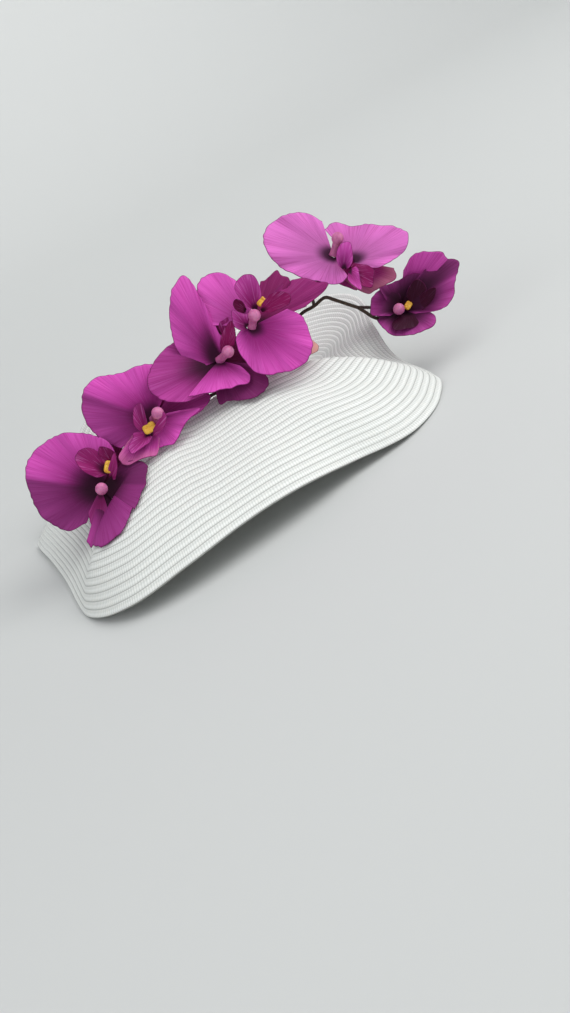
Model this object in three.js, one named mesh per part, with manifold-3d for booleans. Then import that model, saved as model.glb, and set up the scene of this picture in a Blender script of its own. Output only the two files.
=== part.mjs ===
// A fascinator: a wavy oval of sewn straw braid that carries a spray of six silk orchids on a wire stem.
// Millimetres. X runs from the left end of the braid to the right end, Y to the back, Z up.
// The origin is on the floor under the middle of the object's box.
import * as THREE from 'three';
import { mergeVertices } from 'three/addons/utils/BufferGeometryUtils.js';
import Module from 'manifold-3d';

const wasm = await Module();
wasm.setup();

// Driving dimensions of the braid base. ORIGIN is the middle of the bottom of the object's box, in the
// coordinates that the tables below are measured in.
const ORIGIN = { x: 23.7, y: 12.2, z: -1.4 };
const BASE_CENTRE = { x: -12, y: 12 };
const BASE_TOP = 66;
const BRAID_WALL = 1.8;
const TURN_STEP = 5;
const RINGS = 9;

// One row for each section that runs out from the centre. turn is counted from +X, in degrees,
// reach is the distance from the centre to the rim, and near, far and rim are the heights of the
// braid a third of the way out, two thirds out and at the rim. fold 1 marks a sharp ridge, and
// fold 2 a ridge that ends in a corner of the rim.
const BASE_SECTIONS = [
  { turn: 2, reach: 166, near: 50, far: 40, rim: 22 },
  { turn: 9, reach: 165, near: 44, far: 40, rim: 45 },
  { turn: 21, reach: 180, near: 38, far: 38, rim: 59 },
  { turn: 45, reach: 166, near: 33, far: 36, rim: 66 },
  { turn: 68, reach: 140, near: 30, far: 36, rim: 70 },
  { turn: 90, reach: 127, near: 30, far: 36, rim: 72 },
  { turn: 112, reach: 122, near: 30, far: 36, rim: 72 },
  { turn: 133, reach: 121, near: 32, far: 36, rim: 68 },
  { turn: 144, reach: 146, near: 36, far: 32, rim: 42 },
  { turn: 153, reach: 170, near: 44, far: 30, rim: 18 },
  { turn: 157, reach: 169, near: 54, far: 36, rim: 6 },
  { turn: 160, reach: 178, near: 62, far: 42, rim: 2, fold: 2 },
  { turn: 172, reach: 157, near: 58, far: 39, rim: 3 },
  { turn: 184, reach: 146, near: 53, far: 34, rim: 3 },
  { turn: 198, reach: 144, near: 52, far: 32, rim: 2 },
  { turn: 208, reach: 149, near: 54, far: 36, rim: 1 },
  { turn: 216, reach: 155, near: 58, far: 45, rim: 0, fold: 1 },
  { turn: 225, reach: 157, near: 55, far: 42, rim: 4 },
  { turn: 235, reach: 154, near: 55, far: 41, rim: 10 },
  { turn: 252, reach: 137, near: 54, far: 41, rim: 19 },
  { turn: 270, reach: 123, near: 54, far: 42, rim: 23 },
  { turn: 295, reach: 122, near: 55, far: 43, rim: 21 },
  { turn: 315, reach: 132, near: 57, far: 43, rim: 10 },
  { turn: 332, reach: 163, near: 58, far: 43, rim: 1 },
  { turn: 345, reach: 180, near: 60, far: 42, rim: 0 },
  { turn: 355, reach: 184, near: 66, far: 51, rim: 2, fold: 1 },
];

// Driving dimensions that all blooms share. Sheets start a little away from their root, and further
// away where the round hub of the bloom needs the room.
const SILK_WALL = 1;
const STEPS_OUT = { left_petal: 2, right_petal: 2, sepals: 2, lip: 1 };
const HUB_RADIUS = 4;
const HUB_CLEAR_START = 4.3;
const FREE_START = 1.5;
const SEPAL_START = 2.4;
const CLAW_RADIUS = 1.1;
const CLAW_DEPTH = 0.8;
const CLAW_SIDES = 5;
const SOFT_FOLD = 1.6;
const BEND_LIMIT = 1.3;
const STRAW_CLEARANCE = 2.6;
const LAY_EASE = 6;
const BALL_DETAIL = 1;
const GAP = 0.3;
const ROOM = 0.6;
const SIMPLER = 0.12;

// The blooms face the front, raised and leaned like the spray itself
const SPRAY_RISE = 28;
const SPRAY_LEAN = 28;

// One row for each bloom: the place of its heart, then its knob, callus and sheets in its own frame.
// A sheet spreads like a hand fan: angle is the direction of its midline, counted from the bloom's
// right, fan holds the directions of the first and last rib from there, and ribs their lengths. lift
// raises the sheet towards the front, curl adds to that out to the tip, fold is the drop of the left
// and right half for each millimetre away from the midline, and skew turns it about the midline.
const BLOOMS = [
  {
    name: 'bloom_1',
    place: [-90, -25, 58],
    knob: [2.8, -0.7, 12],
    callus: { place: [6.9, 15.1, 6.5], turn: 80, size: [4.6, 3.2] },
    sheets: [
      {
        piece: 'left_petal', angle: 173, fan: [-108, 75],
        ribs: [27, 34, 38, 43, 49, 54, 58, 56, 52, 49, 44, 39, 27],
        lift: 6, curl: -10, fold: [0.24, 0.24],
      },
      {
        piece: 'right_petal', angle: 350, fan: [-33, 60],
        ribs: [57, 49, 43, 39, 37, 38, 33, 25],
        lift: 4, curl: 10, skew: -6, fold: [0.05, 0.05],
      },
      {
        piece: 'sepals', angle: 268, fan: [-9, 47],
        ribs: [41, 48, 57, 63, 69, 68, 56],
        lift: 16, curl: 6, root: [0, 0, -1.2],
      },
      {
        piece: 'sepals', angle: 265, fan: [-20, 26],
        ribs: [20, 27, 31, 30, 24],
        lift: 12, root: [0, 0, 0.5],
      },
      {
        piece: 'sepals', angle: 60, fan: [-38, 34],
        ribs: [13, 18, 25, 34, 38, 22],
        lift: -24, root: [0, 0, -2.4],
      },
      {
        piece: 'lip', angle: 160, fan: [-65, 64],
        ribs: [5, 13, 21, 25, 25, 19, 13, 9, 4],
        lift: 34, curl: -24, fold: [-0.45, -0.3], root: [6.3, 12, 4],
      },
      {
        piece: 'lip', angle: 120, fan: [-68, 20],
        ribs: [5, 8, 11, 14, 17, 13],
        lift: 44, curl: -10, fold: [-0.3, -0.3], root: [9, 17.2, 3],
      },
      {
        piece: 'lip', angle: 74, fan: [-57, 20],
        ribs: [4, 5, 8, 14, 21, 10],
        lift: 40, curl: -20, fold: [-0.5, -0.2], root: [7.9, 5.6, 4],
      },
    ],
  },
  {
    name: 'bloom_2',
    place: [-33, -10, 80],
    knob: [4.3, 3.3, 12],
    callus: { place: [-2.2, -6.9, 7.5], turn: 30, size: [4.9, 3.7] },
    sheets: [
      {
        piece: 'left_petal', angle: 160, fan: [-94, 62],
        ribs: [24, 37, 40, 40, 40, 43, 51, 54, 53, 49, 43, 37, 32],
        lift: 12, curl: -8, fold: [0.16, 0.16],
      },
      {
        piece: 'right_petal', angle: 338, fan: [-95, 47],
        ribs: [23, 26, 23, 22, 22, 24, 23, 22, 23, 26, 35, 12],
        lift: -12, curl: 26, fold: [-0.12, -0.25],
      },
      {
        piece: 'sepals', angle: 20, fan: [-35, 42],
        ribs: [9, 18, 34, 45, 40, 28, 16],
        lift: -14, curl: 4, root: [0, 0, -1.2],
      },
      {
        piece: 'sepals', angle: 236, fan: [-20, 52],
        ribs: [18, 37, 40, 32, 28, 27, 14],
        lift: 8, curl: 4, fold: [-0.1, -0.1], root: [0, 0, -1.2],
      },
      {
        piece: 'sepals', angle: 92, fan: [-49, 30],
        ribs: [14, 18, 20, 20, 16, 8],
        lift: -24, root: [0, 0, -2.4],
      },
      {
        piece: 'lip', angle: 112, fan: [-30, 41],
        ribs: [8, 23, 23, 16, 11, 5],
        lift: 46, curl: -14, fold: [-0.6, -0.4], root: [-4.9, -10.7, 4],
      },
      {
        piece: 'lip', angle: 48, fan: [-36, 8],
        ribs: [6, 9, 14, 18, 21, 22],
        lift: 42, curl: -20, fold: [-0.4, -0.2], root: [-2.2, -12.7, 5],
      },
      {
        piece: 'lip', angle: 228, fan: [-60, 86],
        ribs: [5, 12, 13, 19, 20, 11, 8, 5, 4, 3],
        lift: 20, curl: -10, fold: [-0.4, -0.4], root: [-2.2, -10.1, 5],
      },
    ],
  },
  {
    name: 'bloom_3',
    place: [29, 5, 91],
    knob: [7, 4.7, 11],
    callus: { place: [6.5, 10.2, 3], turn: 80, size: [3.6, 2.6] },
    sheets: [
      {
        piece: 'left_petal', angle: 130, fan: [-59, 72],
        ribs: [10, 17, 20, 33, 66, 63, 54, 46, 39, 34, 29, 25, 22, 16],
        lift: 15, curl: -6, fold: [-0.15, 0.4],
      },
      {
        piece: 'right_petal', angle: 262, fan: [-27, 82],
        ribs: [39, 32, 29, 26, 26, 26, 29, 26, 16],
        lift: 34, curl: -8, fold: [0.3, 0.3],
      },
      {
        piece: 'right_petal', angle: 290, fan: [-34, 64],
        ribs: [16, 32, 31, 35, 39, 41, 38, 22],
        lift: -2, curl: 8, fold: [-0.15, -0.15], root: [0, 0, -0.6],
      },
      {
        piece: 'sepals', angle: 212, fan: [-70, 55],
        ribs: [11, 30, 39, 46, 53, 58, 54, 44, 32, 19, 12],
        lift: 20, fold: [0.14, 0.14], root: [0, 0, -1.6],
      },
      {
        piece: 'sepals', angle: 30, fan: [-43, 100],
        ribs: [22, 30, 30, 26, 25, 28, 32, 30, 20],
        lift: -24, root: [0, 0, -2.6],
      },
      {
        piece: 'lip', angle: 78, fan: [-33, 64],
        ribs: [10, 17, 25, 17, 10, 6, 4],
        lift: 38, curl: -14, fold: [-0.3, -0.3], root: [4.9, 4.3, 4],
      },
      {
        piece: 'lip', angle: 100, fan: [-35, 36],
        ribs: [5, 14, 12, 11, 8, 4],
        lift: 40, curl: -6, fold: [-0.2, -0.2], root: [3.9, 18.3, 1],
      },
    ],
  },
  {
    name: 'bloom_4',
    place: [61, -1, 104],
    knob: [2.3, 6, 10],
    callus: { place: [7.1, 16.5, 7], turn: 50, size: [3.6, 2.2] },
    sheets: [
      {
        piece: 'left_petal', angle: 144, fan: [-51, 30],
        ribs: [16, 33, 40, 50, 54, 54, 50, 46, 42, 34],
        lift: -18, curl: 6, fold: [0.24, 0.24],
      },
      {
        piece: 'right_petal', angle: 312, fan: [-110, 74],
        ribs: [9, 14, 17, 21, 25, 32, 37, 39, 44, 47, 46, 41, 37, 29],
        lift: 4, curl: -6, fold: [0.05, 0.05],
      },
      {
        piece: 'sepals', angle: 18, fan: [5, 45],
        ribs: [44, 67, 60, 53, 42, 22],
        lift: -16, curl: 4, fold: [0.12, 0.12], root: [0, 0, -1.6],
      },
      {
        piece: 'sepals', angle: 62, fan: [-11, 18],
        ribs: [46, 48, 47, 49, 40, 37],
        lift: -22, curl: 10, root: [0, 0, -2.6],
      },
      {
        piece: 'sepals', angle: 340, fan: [-8, 16],
        ribs: [30, 46, 51, 52, 45, 28],
        lift: -16, curl: 2, root: [0, 0, -2.8],
      },
      {
        piece: 'lip', angle: 120, fan: [-54, 31],
        ribs: [6, 15, 24, 27, 26, 22, 10],
        lift: 42, curl: -16, fold: [-0.35, -0.35], root: [3.3, 10.2, 4],
      },
      {
        piece: 'lip', angle: 30, fan: [-34, 38],
        ribs: [10, 23, 26, 21, 14, 6],
        lift: 40, curl: -14, fold: [-0.35, -0.35], root: [6.2, 9.4, 6],
      },
      {
        piece: 'lip', angle: 150, fan: [-30, 53],
        ribs: [8, 12, 12, 10, 7, 5],
        lift: 30, curl: -10, fold: [-0.3, -0.3], root: [-2.9, 10.4, 3],
      },
      {
        piece: 'lip', angle: 140, fan: [-65, 72],
        ribs: [8, 11, 10, 12, 17, 14, 12, 10, 7, 5],
        lift: 24, curl: -10, fold: [-0.2, -0.2], root: [-2.1, -1.1, 3],
      },
    ],
  },
  {
    name: 'bloom_5',
    place: [140, 23, 115],
    knob: [2.6, 10.7, 8],
    callus: { place: [7.3, -5.9, 2.5], turn: 80, size: [3.6, 2.6] },
    sheets: [
      {
        piece: 'left_petal', angle: 182, fan: [-74, 122],
        ribs: [27, 38, 45, 52, 54, 49, 40, 32, 27, 23, 21, 21, 21, 21, 19],
        lift: -2, curl: 4, fold: [0.16, 0.14],
      },
      {
        piece: 'right_petal', angle: 12, fan: [-38, 118],
        ribs: [8, 20, 29, 41, 46, 41, 35, 31, 27, 26, 29, 32, 31],
        lift: -4, curl: 6, root: [13.5, -4.2, 0.9],
      },
      {
        piece: 'sepals', angle: 335, fan: [-36, 17],
        ribs: [20, 29, 38, 41, 45, 50, 47],
        lift: -12, curl: 4, fold: [0.12, 0.12], root: [0, 0, -1.6],
      },
      {
        piece: 'sepals', angle: 300, fan: [-28, 17],
        ribs: [14, 19, 22, 25, 30, 26],
        lift: -12, curl: 2, root: [0, 0, -2.4],
      },
      {
        piece: 'sepals', angle: 60, fan: [-98, 20],
        ribs: [8, 12, 20, 27, 26, 20, 14],
        lift: -20, curl: 2, root: [0, 0, -2.8],
      },
      {
        piece: 'lip', angle: 90, fan: [-58, 49],
        ribs: [5, 9, 13, 20, 20, 16, 11, 6],
        lift: 36, curl: -16, fold: [-0.4, -0.4], root: [7.5, -11.8, 4],
      },
      {
        piece: 'lip', angle: 322, fan: [-22, 97],
        ribs: [15, 24, 21, 19, 14, 9, 7, 6],
        lift: 16, curl: 6, fold: [-0.3, -0.3], root: [11, -10.7, 2],
      },
      {
        piece: 'lip', angle: 305, fan: [-38, 77],
        ribs: [8, 13, 19, 12, 9, 8, 7, 6],
        lift: 24, curl: -10, fold: [-0.3, -0.3], root: [10.8, -11.3, 4],
      },
    ],
  },
  {
    name: 'bloom_6',
    place: [174, 32, 51],
    knob: [-2.6, -3, 10],
    callus: { place: [4.9, 0.4, 7], turn: 60, size: [3.4, 2.6] },
    sheets: [
      {
        piece: 'left_petal', angle: 150, fan: [-52, 63],
        ribs: [9, 18, 20, 22, 24, 24, 25, 12],
        lift: 56, curl: -56, fold: [-0.2, -0.2],
      },
      {
        piece: 'right_petal', angle: 30, fan: [-73, 34],
        ribs: [10, 12, 16, 34, 42, 46, 55, 43, 18],
        lift: 44, curl: -30,
      },
      {
        piece: 'sepals', angle: 104, fan: [-50, 51],
        ribs: [30, 28, 24, 22, 22, 25, 14],
        lift: 50, curl: -30, fold: [-0.2, -0.2], root: [0, 0, -1.2],
      },
      {
        piece: 'sepals', angle: 60, fan: [-14, 25],
        ribs: [52, 54, 50, 47, 42, 30],
        lift: 26, curl: 4, root: [0, 0, -3],
      },
      {
        piece: 'sepals', angle: 285, fan: [-110, 98],
        ribs: [12, 17, 21, 23, 26, 29, 28, 29, 30, 32, 29, 19, 15, 13],
        lift: 44, curl: -14, fold: [-0.2, -0.2], root: [0, 0, -1.2],
      },
      {
        piece: 'lip', angle: 60, fan: [-24, 55],
        ribs: [10, 18, 21, 21, 15, 9],
        lift: 50, curl: -20, fold: [-0.4, -0.4], root: [8.3, -0.1, 4],
      },
      {
        piece: 'lip', angle: 20, fan: [-24, 50],
        ribs: [8, 12, 19, 23, 15, 8],
        lift: 46, curl: -10, fold: [-0.4, -0.4], root: [10.2, -2.3, 5],
      },
      {
        piece: 'lip', angle: 280, fan: [-77, 57],
        ribs: [8, 18, 23, 19, 17, 16, 13, 9, 6],
        lift: 40, curl: -10, fold: [-0.4, -0.4], root: [6.3, -4.1, 4],
      },
    ],
  },
];
const PLAIN_SHEET = { lift: 0, curl: 0, skew: 0, fold: [0.1, 0.1], root: [0, 0, 0.9] };

// Column with its round knob, and the small callus that lies on the lip
const KNOB_RADIUS = 4.5;
const KNOB_STEPS = 4;
const COLUMN_RADIUS = 2.9;
const TURNED_SIDES = 8;
const CALLUS_HALF_HEIGHT = 1.9;

// Stem: it follows the crest, leaves it and forks. The points are its middle line past the crest.
const STEM_RADIUS = 1.3;
const STEM_SIDES = 6;
const STEM_STEPS = 30;
const STALK_STEPS = 5;
const STEM_ON_CREST = [
  { turn: 160, part: 0.56 },
  { turn: 160, part: 0.38 },
  { turn: 160, part: 0.2 },
  { turn: 160, part: 0 },
  { turn: 355, part: 0.16 },
  { turn: 355, part: 0.3 },
  { turn: 355, part: 0.4 },
];
const STEM_FREE = [
  { x: 84, y: 17, z: 80 },
  { x: 99, y: 20, z: 88 },
  { x: 111, y: 20, z: 89 },
  { x: 121, y: 20, z: 91 },
  { x: 127, y: 20, z: 86 },
  { x: 135, y: 20, z: 78 },
  { x: 141, y: 20, z: 72 },
];
const STEM_FORK = [
  { x: 141, y: 20, z: 72 },
  { x: 146, y: 25, z: 64 },
  { x: 151, y: 28, z: 56 },
  { x: 160, y: 35, z: 47 },
];
// Where each bloom's own stalk leaves the stem, on the crest or past it, and the point that it bends through
const STALKS = [
  { bloom: 'bloom_1', turn: 160, part: 0.38, via: { x: -88, y: 10, z: 62 } },
  { bloom: 'bloom_2', turn: 160, part: 0.2, via: { x: -34, y: 8, z: 76 } },
  { bloom: 'bloom_3', turn: 355, part: 0.16, via: { x: 24, y: 16, z: 82 } },
  { bloom: 'bloom_4', turn: 355, part: 0.4, via: { x: 60, y: 14, z: 92 } },
  { bloom: 'bloom_5', from: { x: 111, y: 20, z: 89 }, via: { x: 117, y: 31, z: 95 } },
  { bloom: 'bloom_6', from: { x: 141, y: 20, z: 72 }, via: { x: 155, y: 38, z: 60 } },
];

// Hair comb under the braid
const COMB = { x: 8, y: -42, width: 64, depth: 7, thick: 2.6, teeth: 13, slope: 20 };
const COMB_TOOTH = { width: 1.8, length: 30, thick: 1.6 };
const COMB_LOWER_STEP = 0.2;

// Colours of the materials
const STRAW = { color: 0xdcded9, roughness: 0.45, metalness: 0 };
const PETAL = { color: 0xb23a92, roughness: 0.6, metalness: 0 };
const SEPAL = { color: 0x8c2a6e, roughness: 0.6, metalness: 0 };
const LIP = { color: 0x6a1040, roughness: 0.5, metalness: 0 };
const COLUMN = { color: 0xcc7aa4, roughness: 0.5, metalness: 0 };
const CALLUS = { color: 0xe0aa48, roughness: 0.5, metalness: 0 };
const WIRE = { color: 0x2a201c, roughness: 0.5, metalness: 0 };
const COMB_PLASTIC = { color: 0xe6e6e4, roughness: 0.3, metalness: 0 };

const X_AXIS = new THREE.Vector3(1, 0, 0);
const Y_AXIS = new THREE.Vector3(0, 1, 0);
const Z_AXIS = new THREE.Vector3(0, 0, 1);
const radians = THREE.MathUtils.degToRad;

// Value of one column of the section table at any turn: cubic between rows, broken at the folds
function sectionValue(column, turn) {
  const rows = BASE_SECTIONS;
  const count = rows.length;
  let wanted = ((turn % 360) + 360) % 360;
  if (wanted < rows[0].turn) wanted += 360;
  let first = count - 1;
  while (rows[first].turn > wanted) first -= 1;
  const second = (first + 1) % count;
  const turnOf = (index) => rows[(index + count) % count].turn + 360 * Math.floor(index / count);
  const valueOf = (index) => rows[(index + count) % count][column];
  const smoothFold = column === 'reach' ? 1 : 0;
  const slopeAt = (index, side) => {
    const before = turnOf(index) - turnOf(index - 1);
    const after = turnOf(index + 1) - turnOf(index);
    const fall = (valueOf(index) - valueOf(index - 1)) / before;
    const rise = (valueOf(index + 1) - valueOf(index)) / after;
    if ((rows[(index + count) % count].fold ?? 0) > smoothFold) return side > 0 ? rise : fall;
    return (fall * after + rise * before) / (before + after);
  };
  const span = turnOf(first + 1) - turnOf(first);
  const u = (wanted - turnOf(first)) / span;
  const start = valueOf(first);
  const end = rows[second][column];
  const startSlope = slopeAt(first, 1) * span;
  const endSlope = slopeAt(first + 1, -1) * span;
  return (2 * u ** 3 - 3 * u ** 2 + 1) * start + (u ** 3 - 2 * u ** 2 + u) * startSlope
    + (3 * u ** 2 - 2 * u ** 3) * end + (u ** 3 - u ** 2) * endSlope;
}

// Height of the braid's top face at a fraction of the way out: a cubic through the centre,
// the two heights on the way and the rim
function sectionHeight(turn, part) {
  const near = sectionValue('near', turn);
  const far = sectionValue('far', turn);
  const rim = sectionValue('rim', turn);
  return BASE_TOP * (1 - 3 * part) * (1 - 1.5 * part) * (1 - part)
    + near * 9 * part * (1 - 1.5 * part) * (1 - part)
    + far * 4.5 * part * (3 * part - 1) * (1 - part)
    + rim * 0.5 * part * (3 * part - 1) * (3 * part - 2);
}

function basePoint(turn, part) {
  const distance = sectionValue('reach', turn) * part;
  const angle = radians(turn);
  return new THREE.Vector3(
    BASE_CENTRE.x + distance * Math.cos(angle),
    BASE_CENTRE.y + distance * Math.sin(angle),
    sectionHeight(turn, part),
  );
}

// Height of the braid under a point, or minus infinity where there is no braid below
function braidHeight(x, y) {
  const turn = THREE.MathUtils.radToDeg(Math.atan2(y - BASE_CENTRE.y, x - BASE_CENTRE.x));
  const part = Math.hypot(x - BASE_CENTRE.x, y - BASE_CENTRE.y) / sectionValue('reach', turn);
  return part > 1.02 ? -Infinity : sectionHeight(turn, Math.min(part, 1));
}

function geometryFrom(points, faces) {
  const geometry = new THREE.BufferGeometry();
  geometry.setAttribute('position', new THREE.Float32BufferAttribute(points.flatMap((p) => p.toArray()), 3));
  geometry.setIndex(faces.flat());
  geometry.computeVertexNormals();
  return geometry;
}

// The turns that the braid is built from: even steps, moved onto a fold that is near
function braidTurns() {
  return Array.from({ length: 360 / TURN_STEP }, (unused, index) => {
    const turn = index * TURN_STEP;
    const fold = BASE_SECTIONS.find((row) => row.fold && Math.abs(row.turn - turn) < TURN_STEP / 2);
    return fold ? fold.turn : turn;
  });
}

// The braid base: a top skin and an under skin that meet in a wall along the rim
function braidGeometry(grow) {
  const turns = braidTurns();
  const count = turns.length;
  const top = [basePoint(0, 0)];
  for (let ring = 1; ring <= RINGS; ring += 1) {
    for (const turn of turns) top.push(basePoint(turn, ring / RINGS));
  }
  const at = (ring, index) => (ring === 0 ? 0 : 1 + (ring - 1) * count + ((index + count) % count));
  const faces = [];
  for (let index = 0; index < count; index += 1) {
    faces.push([0, at(1, index), at(1, index + 1)]);
    for (let ring = 1; ring < RINGS; ring += 1) {
      faces.push([at(ring, index), at(ring + 1, index), at(ring + 1, index + 1)]);
      faces.push([at(ring, index), at(ring + 1, index + 1), at(ring, index + 1)]);
    }
  }
  const skin = geometryFrom(top, faces);
  const normal = skin.getAttribute('normal');
  const shifted = (distance) => top.map((point, index) => new THREE.Vector3(
    point.x + distance * normal.getX(index),
    point.y + distance * normal.getY(index),
    point.z + distance * normal.getZ(index),
  ));
  const offset = top.length;
  const underFaces = faces.map(([a, b, c]) => [a + offset, c + offset, b + offset]);
  const wall = [];
  for (let index = 0; index < count; index += 1) {
    const a = at(RINGS, index);
    const b = at(RINGS, index + 1);
    wall.push([a, a + offset, b + offset], [a, b + offset, b]);
  }
  const points = [...shifted(grow), ...shifted(-BRAID_WALL - grow)];
  return geometryFrom(points, [...faces, ...underFaces, ...wall]);
}

function startOf(sheet) {
  if (sheet.piece === 'sepals') return SEPAL_START;
  return Math.hypot(sheet.root[0], sheet.root[1]) < HUB_CLEAR_START ? HUB_CLEAR_START : FREE_START;
}

// A flat point of a fan, along and across its midline, a part of the way out on one of its ribs.
// grow widens the fan on every side.
function fanPoint(sheet, column, part, grow) {
  const last = sheet.ribs.length - 1;
  const [first, final] = sheet.fan;
  const angle = radians(first + (final - first) * (column / last));
  const start = startOf(sheet) - grow;
  const along = start + (sheet.ribs[column] + grow - start) * part;
  let aside = 0;
  if (column === 0) aside = -grow;
  if (column === last) aside = grow;
  return {
    x: along * Math.cos(angle) - aside * Math.sin(angle),
    y: along * Math.sin(angle) + aside * Math.cos(angle),
  };
}

// The place of a flat point in the bloom's own frame, once the sheet is bent
function bendPoint(sheet, { x, y }) {
  const part = THREE.MathUtils.clamp(x / Math.max(...sheet.ribs), 0, BEND_LIMIT);
  const tilt = x > 0 ? radians(sheet.lift + sheet.curl * part) : 0;
  const side = Math.hypot(y, SOFT_FOLD) - SOFT_FOLD;
  const fall = y > 0 ? sheet.fold[0] : sheet.fold[1];
  const height = x * Math.sin(tilt) - fall * side * Math.min(part, 1);
  return new THREE.Vector3(x * Math.cos(tilt), y, height)
    .applyAxisAngle(X_AXIS, radians(sheet.skew))
    .applyAxisAngle(Z_AXIS, radians(sheet.angle))
    .add(new THREE.Vector3(...sheet.root));
}

// Raises a point that would dip into the braid, gently from a little above it
function layOnBraid(point) {
  const short = braidHeight(point.x, point.y) + STRAW_CLEARANCE - point.z;
  const eased = short > LAY_EASE ? short : Math.max(short + LAY_EASE, 0) ** 2 / (4 * LAY_EASE);
  return point.setZ(point.z + eased);
}

// A bent sheet as a thin closed wall. grow adds that much on every side, for the room that it takes
// from its neighbours.
function sheetSolid(sheet, matrix, grow) {
  const steps = STEPS_OUT[sheet.piece];
  const columns = sheet.ribs.length;
  const middle = [];
  for (let step = 0; step <= steps; step += 1) {
    for (let column = 0; column < columns; column += 1) {
      const flat = fanPoint(sheet, column, step / steps, grow);
      middle.push(layOnBraid(bendPoint(sheet, flat).applyMatrix4(matrix)));
    }
  }
  return solidOf(wallFromGrid(middle, columns, SILK_WALL + 2 * grow));
}

// Thickens a grid of points by half the wall on each side and closes its edge
function wallFromGrid(middle, columns, wall) {
  const rows = middle.length / columns;
  const faces = [];
  for (let row = 0; row < rows - 1; row += 1) {
    for (let column = 0; column < columns - 1; column += 1) {
      const a = row * columns + column;
      faces.push([a, a + columns, a + columns + 1], [a, a + columns + 1, a + 1]);
    }
  }
  const normal = geometryFrom(middle, faces).getAttribute('normal');
  const shifted = (sign) => middle.map((point, index) => new THREE.Vector3(
    point.x + sign * 0.5 * wall * normal.getX(index),
    point.y + sign * 0.5 * wall * normal.getY(index),
    point.z + sign * 0.5 * wall * normal.getZ(index),
  ));
  const offset = middle.length;
  const back = faces.map(([a, b, c]) => [a + offset, c + offset, b + offset]);
  const edge = [];
  for (let row = 0; row < rows; row += 1) edge.push(row * columns);
  for (let column = 1; column < columns; column += 1) edge.push((rows - 1) * columns + column);
  for (let row = rows - 2; row >= 0; row -= 1) edge.push(row * columns + columns - 1);
  for (let column = columns - 2; column > 0; column -= 1) edge.push(column);
  const rim = edge.flatMap((a, index) => {
    const b = edge[(index + 1) % edge.length];
    return [[a, a + offset, b], [b, a + offset, b + offset]];
  });
  return geometryFrom([...shifted(1), ...shifted(-1)], [...faces, ...back, ...rim]);
}

function solidOf(geometry) {
  const bare = geometry.clone();
  bare.deleteAttribute('normal');
  bare.deleteAttribute('uv');
  const merged = mergeVertices(bare, 1e-4);
  return new wasm.Manifold(new wasm.Mesh({
    numProp: 3,
    vertProperties: new Float32Array(merged.getAttribute('position').array),
    triVerts: new Uint32Array(merged.getIndex().array),
  }));
}

function geometryOf(solid) {
  const mesh = solid.getMesh();
  const geometry = new THREE.BufferGeometry();
  geometry.setAttribute('position', new THREE.Float32BufferAttribute(mesh.vertProperties, 3));
  geometry.setIndex(new THREE.Uint32BufferAttribute(mesh.triVerts, 1));
  geometry.computeVertexNormals();
  return geometry;
}

function named(name, geometry, look) {
  const mesh = new THREE.Mesh(geometry, new THREE.MeshStandardMaterial(look));
  mesh.name = name;
  return mesh;
}

// The largest piece of a solid after another piece has been cut away from it
function largest(solid) {
  const parts = solid.decompose();
  return parts.reduce((best, part) => (part.volume() > best.volume() ? part : best));
}

function ball(radius, centre) {
  const geometry = new THREE.IcosahedronGeometry(radius, BALL_DETAIL);
  geometry.translate(centre.x, centre.y, centre.z);
  return solidOf(geometry);
}

function bloomMatrix(bloom) {
  const rise = radians(SPRAY_RISE);
  const lean = radians(SPRAY_LEAN);
  const facing = new THREE.Vector3(0, -Math.cos(rise), Math.sin(rise));
  const level = new THREE.Vector3(0, Math.sin(rise), Math.cos(rise));
  const right = new THREE.Vector3(Math.cos(lean), 0, 0).addScaledVector(level, -Math.sin(lean));
  const up = new THREE.Vector3(Math.sin(lean), 0, 0).addScaledVector(level, Math.cos(lean));
  return new THREE.Matrix4().makeBasis(right, up, facing).setPosition(...bloom.place);
}

// A short closed rod from one point to another
function rodSolid(from, to, radius) {
  const axis = to.clone().sub(from);
  const geometry = new THREE.CylinderGeometry(radius, radius, axis.length() + radius, CLAW_SIDES);
  geometry.applyQuaternion(new THREE.Quaternion().setFromUnitVectors(Y_AXIS, axis.normalize()));
  const middle = from.clone().lerp(to, 0.5);
  geometry.translate(middle.x, middle.y, middle.z);
  return solidOf(geometry);
}

// The small claw that holds the sheets of a piece together, one rod from each to the next. The claw
// of a lip starts at the hub.
function clawSolids(sheets, matrix, grow) {
  const heels = sheets.map((sheet) => bendPoint(sheet, { x: startOf(sheet) + 1, y: 0 }));
  if (sheets[0].piece === 'lip') heels.unshift(heels[0].clone().setLength(HUB_RADIUS + GAP + CLAW_RADIUS));
  const places = heels.map((heel) => heel.setZ(heel.z - CLAW_DEPTH).applyMatrix4(matrix));
  return places.slice(1).map((end, index) => rodSolid(places[index], end, CLAW_RADIUS + grow));
}

// All sheets of one piece of a bloom. The hub holds the sepals, and a claw the sheets of other pieces.
function silkSolid(bloom, piece, matrix, grow) {
  const sheets = bloom.sheets.filter((sheet) => sheet.piece === piece)
    .map((sheet) => ({ ...PLAIN_SHEET, ...sheet }));
  const walls = sheets.map((sheet) => sheetSolid(sheet, matrix, grow));
  const heart = new THREE.Vector3(...bloom.place);
  const joints = piece === 'sepals'
    ? [ball(HUB_RADIUS + grow, heart)]
    : clawSolids(sheets, matrix, grow);
  return wasm.Manifold.union([...joints, ...walls]);
}

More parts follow.
